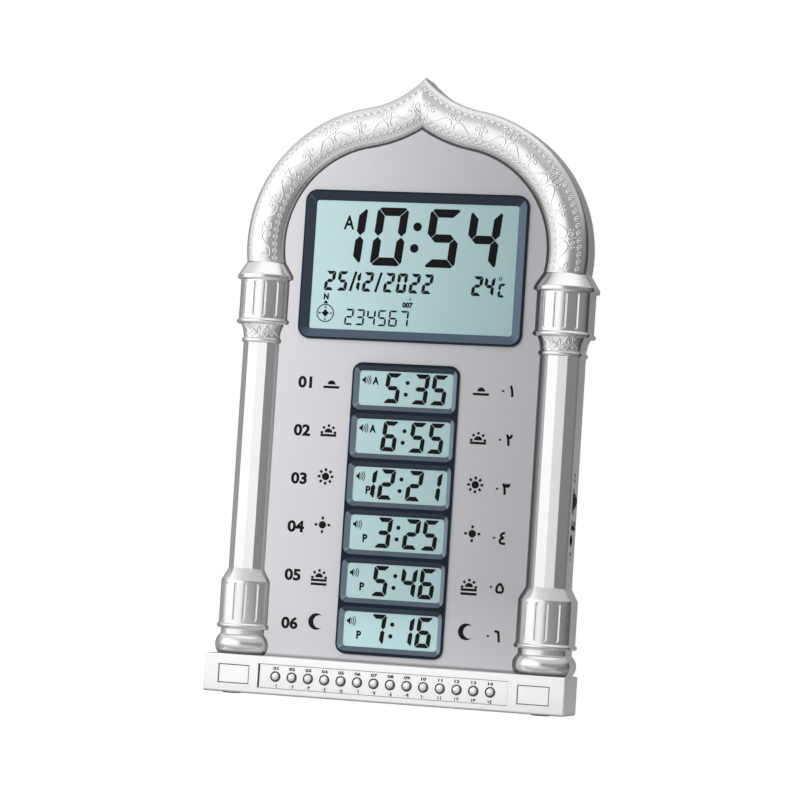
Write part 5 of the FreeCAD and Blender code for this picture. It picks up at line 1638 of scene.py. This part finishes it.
@dataclass
class Displays:
    """Lit segments and signs of the large cell and of the six small ones.

    Attributes:
        time: the large time.
        date: the three groups of the date.
        rest: the temperature, its unit and the bottom line.
        colon: middle and dot radius of the large colon.
        slashes: middles of the date's slashes.
        degree: middle of the degree ring.
        rose: middle of the compass rose.
        rose_radius: radius of its ring.
        count: middle of the little number beside it and base lines of its two forms.
        times: the six times.
        row_middles: middles of the figures of a small time, hours from the right and minutes.
        row_base: distance of its base line under the cell's middle.
        row_colon: middle and dot radius of its colon.
        morning: how many of the six times lie in the first half of the day.
    """

    time: Run = Run(LARGE, "1054", 257.4, (-41.3, -16.0, 16.6, 41.3))
    date: tuple[Run, ...] = (Run(MEDIUM, "25", 241.6, evenly(-50.95, 7.85, 2)),
                             Run(MEDIUM, "12", 241.6, evenly(-35.3, 7.85, 2)),
                             Run(MEDIUM, "2022", 241.6, evenly(-14.4, 7.85, 4)))
    rest: tuple[Run, ...] = (Run(MEDIUM, "24", 241.6, (39.4, 46.7)), Run(UNIT, "C", 241.3, (54.4,)),
                             Run(FINE, "234567", 221.5, evenly(-37.7, 6.76, 6)))
    colon: tuple[float, float] = (0.25, 2.6)
    slashes: tuple[float, float] = (-36.6, -21.0)
    degree: tuple[float, float] = (53.2, 252.2)
    rose: tuple[float, float] = (-52.6, 228.0)
    rose_radius: float = 5.1
    count: tuple[float, float, float] = (-2.2, 233.2, 237.0)
    times: tuple[str, ...] = ("5:35", "6:55", "12:21", "3:25", "5:46", "7:16")
    row_middles: tuple[tuple[float, float], ...] = ((-8.1, -19.4), (9.0, 20.3))
    row_base: float = 8.5
    row_colon: tuple[float, float] = (0.5, 1.25)
    morning: int = 2

    def lines(self, out: Print) -> None:
        """The time with its half-day sign, the date, the temperature and the bottom line."""
        for run in (self.time, *self.date, *self.rest):
            run.draw(out)
        middle, dot = self.colon
        out.add(*self.time.face.colon(middle, self.time.base, dot))
        out.number("A", self.time.middles[0], 278.5, Lettering(8.4, 0.3, 0.76))
        for x in self.slashes:
            out.add(MEDIUM.slash(x, self.date[0].base))
        out.add(*hoop(self.degree, 0.8, 0.5))

    def compass(self, out: Print) -> None:
        """A compass rose under its north mark, and a little number in both kinds of figures.

        Each arm is a kite from the rose's middle: its tip lies 2.4 out, its corners 1.1 out and aside.
        """
        x, z = self.rose
        out.number("N", x, z + 8.4, Lettering(3.2, 0.28, 0.95))
        out.add(np.array([(x - 1.6, z + 5.7), (x + 1.6, z + 5.7), (x, z + 7.8)]))
        out.add(*hoop(self.rose, self.rose_radius, 0.6))
        for turn, letter in enumerate("ENWS"):
            way = np.array([math.cos(turn * math.pi / 2), math.sin(turn * math.pi / 2)])
            side = np.array([-way[1], way[0]])
            out.add(np.array(self.rose) + [way * 2.4, (side + way) * 1.1, way * 0.0, (way - side) * 1.1])
            out.number(letter, *(self.rose + way * 3.6 - (0.0, 0.6)), Lettering(1.2, 0.1, 1.0))
        middle, lower, upper = self.count
        out.number("007", middle, lower, Lettering(2.9, 0.24, 1.02))
        out.add(*eastern_number("007", middle, upper, 1.7, 0.32))

    def speaker(self, out: Print, x: float, z: float) -> None:
        """A small loudspeaker with three sound waves, its mouth at x and its middle at z."""
        out.add(np.array([(x - 3.1, z - 0.8), (x - 2.2, z - 0.8), (x - 0.9, z - 2.5), (x - 0.9, z + 2.5),
                          (x - 2.2, z + 0.8), (x - 3.1, z + 0.8)]))
        for radius in (2.4, 3.5, 4.6):
            out.add(ribbon(arc((x - 2.4, z), radius, -38, 38, 9), 0.48))

    def row(self, out: Print, order: int) -> None:
        """One small cell: the time, its half-day sign and the loudspeaker.

        Args:
            out: the print to add to.
            order: place of the row, from 0 at the top.
        """
        middle = ROW_LEVEL - ROW_PITCH * order
        base = middle - self.row_base
        hours, minutes = self.times[order].split(":")
        for text, middles in zip((hours[::-1], minutes), self.row_middles):
            Run(SMALL, text, base, middles).draw(out)
        x, dot = self.row_colon
        out.add(*SMALL.colon(x, base, dot))
        self.speaker(out, -23.9, middle + 4.6)
        if order < self.morning:
            out.number("A", -18.7, middle + 2.4, Lettering(4.4, 0.28, 0.8))
        else:
            out.number("P", -19.2, middle - 5.5, Lettering(4.6, 0.28, 0.9))

    def build(self, finishes: Finishes) -> None:
        """Lays the lit segments on the large cell and on the row of small ones."""
        large = Print.on("large_display_segments", "main_glass")
        self.lines(large)
        self.compass(large)
        large.build("display_glass", finishes["segment"])
        small = Print.on("small_display_segments", "row_glass")
        for order in range(len(self.times)):
            self.row(small, order)
        small.build("display_glass", finishes["segment"])


@dataclass
class PanelPrint:
    """Signs and numbers beside the six small displays.

    Attributes:
        top: height of the topmost pair's middle.
        pitch: distance between two pairs.
        plain: style of the numbers on the left.
        eastern_stroke: line width of the numbers on the right.
        plain_x: middle of the numbers on the left.
        sign_x: middles of the signs, left and right.
        eastern_x: middle of the numbers on the right.
        sign: half the width of a sign.
    """

    top: float = 186.6
    pitch: float = 28.6
    plain: Lettering = Lettering(6.6, 0.36, 1.12)
    eastern_stroke: float = 1.45
    plain_x: float = -62.0
    sign_x: tuple[float, float] = (-45.6, 45.9)
    eastern_x: float = 61.7
    sign: float = 4.884

    def build(self, finishes: Finishes) -> None:
        """Prints the six pairs of signs on the face panel."""
        out = Print.on("panel_print", "face_panel")
        height = self.plain.height
        for sign in SkySign:
            level = self.top - self.pitch * (sign.value - 1) - height / 2
            text = f"{sign.value:02d}"
            out.number(text, self.plain_x, level, self.plain)
            for x in self.sign_x:
                out.add(*sky_sign(sign, x, level, self.sign))
            out.add(*eastern_number(text, self.eastern_x, level, height, self.eastern_stroke))
        out.build("silver_panel", finishes["ink"])


@dataclass
class StripPrint:
    """Numbers above and below the fourteen buttons.

    Attributes:
        pitch: distance between two buttons.
        plain: style of the numbers above.
        eastern: height and line width of the numbers below.
        levels: base lines of the numbers above and below.
    """

    pitch: float = BUTTON_PITCH
    plain: Lettering = Lettering(1.75, 0.11, 1.5)
    eastern: tuple[float, float] = (2.0125, 0.5)
    levels: tuple[float, float] = (15.55, 5.05)

    def build(self, finishes: Finishes) -> None:
        """Prints the numbers on the overlay."""
        out = Print.on("strip_print", "button_strip")
        above, below = self.levels
        for order in range(BUTTONS):
            x = (order - (BUTTONS - 1) / 2) * self.pitch
            out.number(f"{order + 1:02d}", x, above, self.plain)
            out.add(*eastern_number(f"{order + 1:02d}", x, below, *self.eastern))
        out.build("overlay", finishes["ink"])


@dataclass
class GapShadowLines:
    """Painted shadow in the gaps round the button strip and the two label plates.

    Attributes:
        strip: width of the painted shadow round the strip.
        end: width of the painted shadow at the strip's left end, where the wall of its seat lies in shade.
        plate: width of the painted shadow round a plate.
    """

    strip: float = 0.24
    end: float = 0.8
    plate: float = 0.5

    def ring(self, out: Print, extent: Extent, width: float, left: float) -> None:
        """Draws four bars just inside the edge of a plate.

        Args:
            out: the print to add to.
            extent: the plate's extent.
            width: width of the bars.
            left: width of the bar at the left end.
        """
        x0, x1, z0, z1 = extent.low.x, extent.high.x, extent.low.z, extent.high.z
        bars = [(x0, x0 + left, z0, z1), (x1 - width, x1, z0, z1), (x0 + left, x1 - width, z0, z0 + width),
                (x0 + left, x1 - width, z1 - width, z1)]
        out.add(*[np.array([(a, c), (b, c), (b, d), (a, d)]) for a, b, c, d in bars])

    def build(self, finishes: Finishes) -> None:
        """Draws the painted shadow lines on the strip and on the plates."""
        for node, slot, width, left in (("button_strip", "overlay", self.strip, self.end),
                                        ("left_label_plate", "label_plate", self.plate, self.plate),
                                        ("right_label_plate", "label_plate", self.plate, self.plate)):
            # painted shadow: dark bars where the gaps round the strip and plates lie in shade
            out = Print.on(f"{node}_joint", node)
            self.ring(out, Extent.of(node), width, left)
            out.build(slot, finishes["groove"])


@dataclass
class SidePrint:
    """Small numbers and switch marks on the right wall, round the wheel, the switch and the socket.

    Attributes:
        plain: style of the numbers.
        state: style of the switch's states.
        eastern: height and line width of the eastern numbers.
        over_wheel: distances of the two numbers' base lines above the wheel.
        under_socket: distances of the two numbers' base lines under the socket.
        states: heights of the two states' base lines above the knob's foot.
        aside: how far behind the knob they are printed.
    """

    plain: Lettering = Lettering(1.9, 0.11, 1.7)
    state: Lettering = Lettering(1.9, 0.11, 1.1)
    eastern: tuple[float, float] = (2.185, 0.5)
    over_wheel: tuple[float, float] = (3.2, 6.2)
    under_socket: tuple[float, float] = (4.6, 8.0)
    states: tuple[float, float] = (3.0, -0.3)
    aside: float = 5.7

    def build(self, finishes: Finishes) -> None:
        """Prints a number by the wheel and by the socket, and the two states of the switch."""
        wheel, knob, socket = (Extent.of(node) for node in ("volume_wheel", "switch_knob", "power_socket"))
        out = Print("side_print", Extent.of("right_shaft").high.x, Facing.RIGHT)
        across = knob.middle.y - FRONT
        above = [wheel.high.z + gap for gap in self.over_wheel]
        below = [socket.low.z - gap for gap in self.under_socket]
        for text, (level, eastern_level) in (("15", above), ("16", below)):
            out.number(text, across, level, self.plain)
            out.add(*eastern_number(text, across, eastern_level, *self.eastern))
        for text, rise in zip(("ON", "OFF"), self.states):
            out.number(text, across + self.aside, knob.low.z + rise, self.state)
        out.build("silver_housing", finishes["ink"])


@dataclass
class WellShadowRings:
    """Black rings of painted shadow in the gaps between the fourteen button caps and their wells.

    Attributes:
        radius: radius of the middle of a ring.
        width: width of a ring.
    """

    radius: float = 2.78
    width: float = 0.55

    def build(self, finishes: Finishes) -> None:
        """Draws each ring of painted shadow as two half rings on the overlay."""
        out = Print.on("button_well_shadows", "button_strip")
        for order in range(BUTTONS):
            cap = Extent.of(f"button_{order + 1:02d}").middle
            # painted shadow of each well, in the black of the rubber finish
            out.add(*hoop((cap.x, cap.z), self.radius, self.width))
        out.build("rubber", finishes["rubber"])


# ---- studio


@dataclass(frozen=True)
class Camera:
    """The viewpoint.

    Attributes:
        azimuth: degrees round the clock, to its right.
        elevation: degrees above the horizon.
        roll: degrees that the picture leans clockwise.
        distance: metres from the target.
        target: the point in the picture's middle, in metres.
        lens: focal length in millimetres.
    """

    azimuth: float = 15.72
    elevation: float = -3.05
    roll: float = 3.654
    distance: float = 1.89876
    target: tuple[float, float, float] = (0.00041, -0.016187, 0.177734)
    lens: float = 146.06

    def build(self) -> None:
        """Makes the camera: it looks from its angles at the target, then leans about its own axis."""
        a, e, r = (math.radians(angle) for angle in (self.azimuth, self.elevation, self.roll))
        back = Vector((math.sin(a) * math.cos(e), -math.cos(a) * math.cos(e), math.sin(e)))
        level = Vector((math.cos(a), math.sin(a), 0))
        above = back.cross(level)
        right = math.cos(r) * level + math.sin(r) * above
        up = back.cross(right)
        camera = bpy.data.objects.new("camera", bpy.data.cameras.new("camera"))
        camera.data.lens = self.lens
        camera.data.clip_end = 20
        turn = Matrix((right, up, back)).transposed()
        camera.matrix_world = Matrix.Translation(Vector(self.target) + back * self.distance) @ turn.to_4x4()
        bpy.context.scene.collection.objects.link(camera)
        bpy.context.scene.camera = camera


@dataclass(frozen=True)
class Lamp:
    """A lamp for matt surfaces; glosses reflect the room instead.

    Attributes:
        name: name of the lamp.
        place: where it stands, in metres.
        aim: the point it is turned to, in metres.
        size: width of the light source in metres.
        power: power in watts.
        cone: full angle of the feathered cone in degrees, or 0 for an open softbox.
        tall: height of the cone as a share of its width.
    """

    name: str
    place: tuple[float, float, float]
    aim: tuple[float, float, float]
    size: float
    power: float
    cone: float = 0.0
    tall: float = 1.0

    def build(self) -> None:
        """Makes the lamp."""
        lamp = bpy.data.lights.new(self.name, "SPOT" if self.cone else "AREA")
        lamp.energy = self.power
        if self.cone:
            lamp.spot_size = math.radians(self.cone)
            lamp.spot_blend = 1.0
            lamp.shadow_soft_size = self.size / 2
        else:
            lamp.size = self.size
        piece = bpy.data.objects.new(self.name, lamp)
        turn = (Vector(self.place) - Vector(self.aim)).to_track_quat("Z", "Y").to_matrix().to_4x4()
        piece.matrix_world = Matrix.Translation(self.place) @ turn @ Matrix.Diagonal((1, self.tall, 1, 1))
        piece.visible_glossy = False
        bpy.context.scene.collection.objects.link(piece)


@dataclass(frozen=True)
class Room:
    """Light from all round: even for matt surfaces, a window and a ceiling for glosses, white to the camera.

    Attributes:
        fill: level of the light that matt surfaces gather.
        dim: level of the darkest part of the room, behind on the right, in a gloss.
        front: level that the room adds in front.
        bright: level that the wide window of light at the front left adds.
        shutter: share by which the window is darker in its upper part.
        side: level that the wall on the left adds.
        above: level that the ceiling adds.
        zenith: level that its middle adds.
        overhead: level that the softbox over the front adds.
        azimuth: degrees of the window round the clock, negative to its left.
        elevation: degrees of the window above the horizon.
    """

    fill: float = 0.26
    dim: float = 0.07
    front: float = 0.17
    bright: float = 0.95
    shutter: float = 0.7
    side: float = 0.24
    above: float = 0.44
    zenith: float = 0.22
    overhead: float = 0.50
    azimuth: float = -46.0
    elevation: float = 4.0

    def level(self, tree: Tree) -> Signal:
        """Level of the room in a gloss, by smooth steps over the parts of a ray's direction.

        The window is the disc of directions near its own, which their dot product tells.
        """
        way = tree.add("ShaderNodeTexCoord", output="Generated")
        right, behind, height = (tree.along(axis, way) for axis in "XYZ")
        a, e = math.radians(self.azimuth), math.radians(self.elevation)
        towards = (math.sin(a) * math.cos(e), -math.cos(a) * math.cos(e), math.sin(e))
        facing = tree.add("ShaderNodeVectorMath", {"operation": "DOT_PRODUCT"}, {0: way, 1: towards}, "Value")
        window = facing.between(0.71, 0.79) * (1.0 - self.shutter * height.between(0.32, 0.5))
        ahead = (behind * -1.0).between(-0.35, 0.1)
        high = height.between(0.72, 0.9)
        ceiling = self.above * height.between(0.25, 0.5) + self.zenith * high + self.overhead * ahead * high
        walls = (self.front * ahead * (1.0 - height.between(0.3, 0.9))
                 + self.side * (right * -1.0).between(0.2, 0.95))
        return self.dim + self.bright * window + walls + ceiling

    def build(self) -> None:
        """Makes the world."""
        world = bpy.data.worlds.new("studio")
        bpy.context.scene.world = world
        world.use_nodes = True
        tree = Tree(world.node_tree)
        seen, gloss = tree.seen(), tree.ray("Glossy")
        level = seen + (1.0 - seen) * (gloss * self.level(tree) + (1.0 - gloss) * self.fill)
        shader = tree.add("ShaderNodeBackground", {}, {"Color": (1, 1, 1, 1), "Strength": level})
        tree.add("ShaderNodeOutputWorld", {}, {"Surface": shader})


@dataclass(frozen=True)
class Floor:
    """A pale floor that is almost white to the camera but keeps a soft shadow. In a gloss it shows mostly a
    painted glow.

    Attributes:
        reach: half the width of the floor in metres.
        colour: its colour, linear.
        grain: size of its grain in metres.
        speckle: share by which its colour varies.
        white: strength of the white that the camera sees.
        white_share: share of that white in what the camera sees.
        ground: level of the floor in a gloss.
        gloss_share: share of that level in what a gloss shows.
        left: level that a gloss adds far on the left.
        right: level by which a gloss is darker on the right.
        steps: share of the level right under the clock, and what is added before it and further on.
    """

    reach: float = 6.0
    colour: tuple[float, float, float] = (0.86, 0.86, 0.86)
    grain: float = 0.004
    speckle: float = 0.04
    white: float = 1.22
    white_share: float = 0.78
    ground: float = 0.80
    gloss_share: float = 0.85
    left: float = 0.3
    right: float = 0.62
    steps: tuple[float, float, float] = (0.34, 0.64, 0.2)

    def level(self, tree: Tree) -> Signal:
        """Level of the floor's painted glow in a gloss, by smooth steps over the place in metres: painted
        shade right under the clock and on the right, lighter far on the left.
        """
        across, behind = tree.along("X"), tree.along("Y")
        # painted glow: darker on the right and lighter on the left
        left, right = (across * -1.0).between(0.2, 1.2), across.between(0.05, 0.4)
        # painted shade in the glow right under the clock
        near, far = ((behind * -1.0).between(*step) for step in ((0.02, 0.14), (0.15, 0.35)))
        clear = self.steps[0] + self.steps[1] * near + self.steps[2] * far
        return (self.ground + self.left * left - self.right * right) * clear

    def build(self) -> None:
        """Makes the floor and its material."""
        mesh = bpy.data.meshes.new("floor")
        signs = ((-1, -1), (1, -1), (1, 1), (-1, 1))
        corners = [(x * self.reach, y * self.reach, CAD_BOX[0].z) for x, y in signs]
        mesh.from_pydata(corners, [], [(0, 1, 2, 3)])
        floor = link("floor", mesh)
        material, tree = new_material("pale_floor")
        seen, gloss = tree.seen(), tree.ray("Glossy")
        factor = 1.0 - self.speckle / 2 + tree.noise(self.grain) * self.speckle
        inputs = {"Base Color": tree.tint(self.colour, factor), "Roughness": 0.9, "Specular IOR Level": 0.1}
        matt = tree.add("ShaderNodeBsdfPrincipled", {}, inputs)
        level = seen * self.white + gloss * self.level(tree)
        white = tree.add("ShaderNodeEmission", {}, {"Color": (1, 1, 1, 1), "Strength": level})
        share = seen * self.white_share + gloss * self.gloss_share
        shader = tree.add("ShaderNodeMixShader", {}, {0: share, 1: matt, 2: white})
        tree.add("ShaderNodeOutputMaterial", {}, {"Surface": shader})
        mesh.materials.append(material)


LAMPS = (
    Lamp("key_lamp", (-0.55, -1.25, 0.45), (-0.15, 0.0, 0.20), size=0.3, power=57.0, cone=21.5, tall=2.6),
    Lamp("front_lamp", (0.0, -1.3, 1.4), (0.0, 0.0, 0.18), size=1.0, power=6.5),
    Lamp("plinth_lamp", (0.25, -1.0, 0.04), (0.08, 0.0, 0.006), size=0.1, power=46.0, cone=22.0, tall=0.1),
    Lamp("side_lamp", (1.2, 0.35, 0.06), (0.1, 0.0, 0.06), size=0.4, power=34.0, cone=25.0),
)


# ---- assembly


def dress_nodes(finishes: Finishes) -> None:
    """Gives every carried-over node the finish of its own name, or else of its material slot."""
    for part in frame["record"]["subparts"]:
        node = frame["nodes"][part["node"]]
        node.data.materials.clear()
        node.data.materials.append(finishes.get(part["node"], finishes[part["material_slot"]]))
        log.info("%s: %s", part["node"], part["material_slot"])


def main() -> None:
    """Builds the clock piece by piece, then its studio."""
    logging.basicConfig(level=logging.INFO, format="%(name)s %(message)s")
    finishes = {name: finish.make() for name, finish in PALETTE.items()}
    dress_nodes(finishes)

    for make in (Arch, Column, Displays, PanelPrint, StripPrint, GapShadowLines, SidePrint, WellShadowRings):
        log.info("%s", make.__name__)
        make().build(finishes)
    for part in (Camera(), Room(), Floor(), *LAMPS):
        part.build()
    bpy.context.scene.view_settings.view_transform = "Standard"


if __name__ == "__main__":
    main()
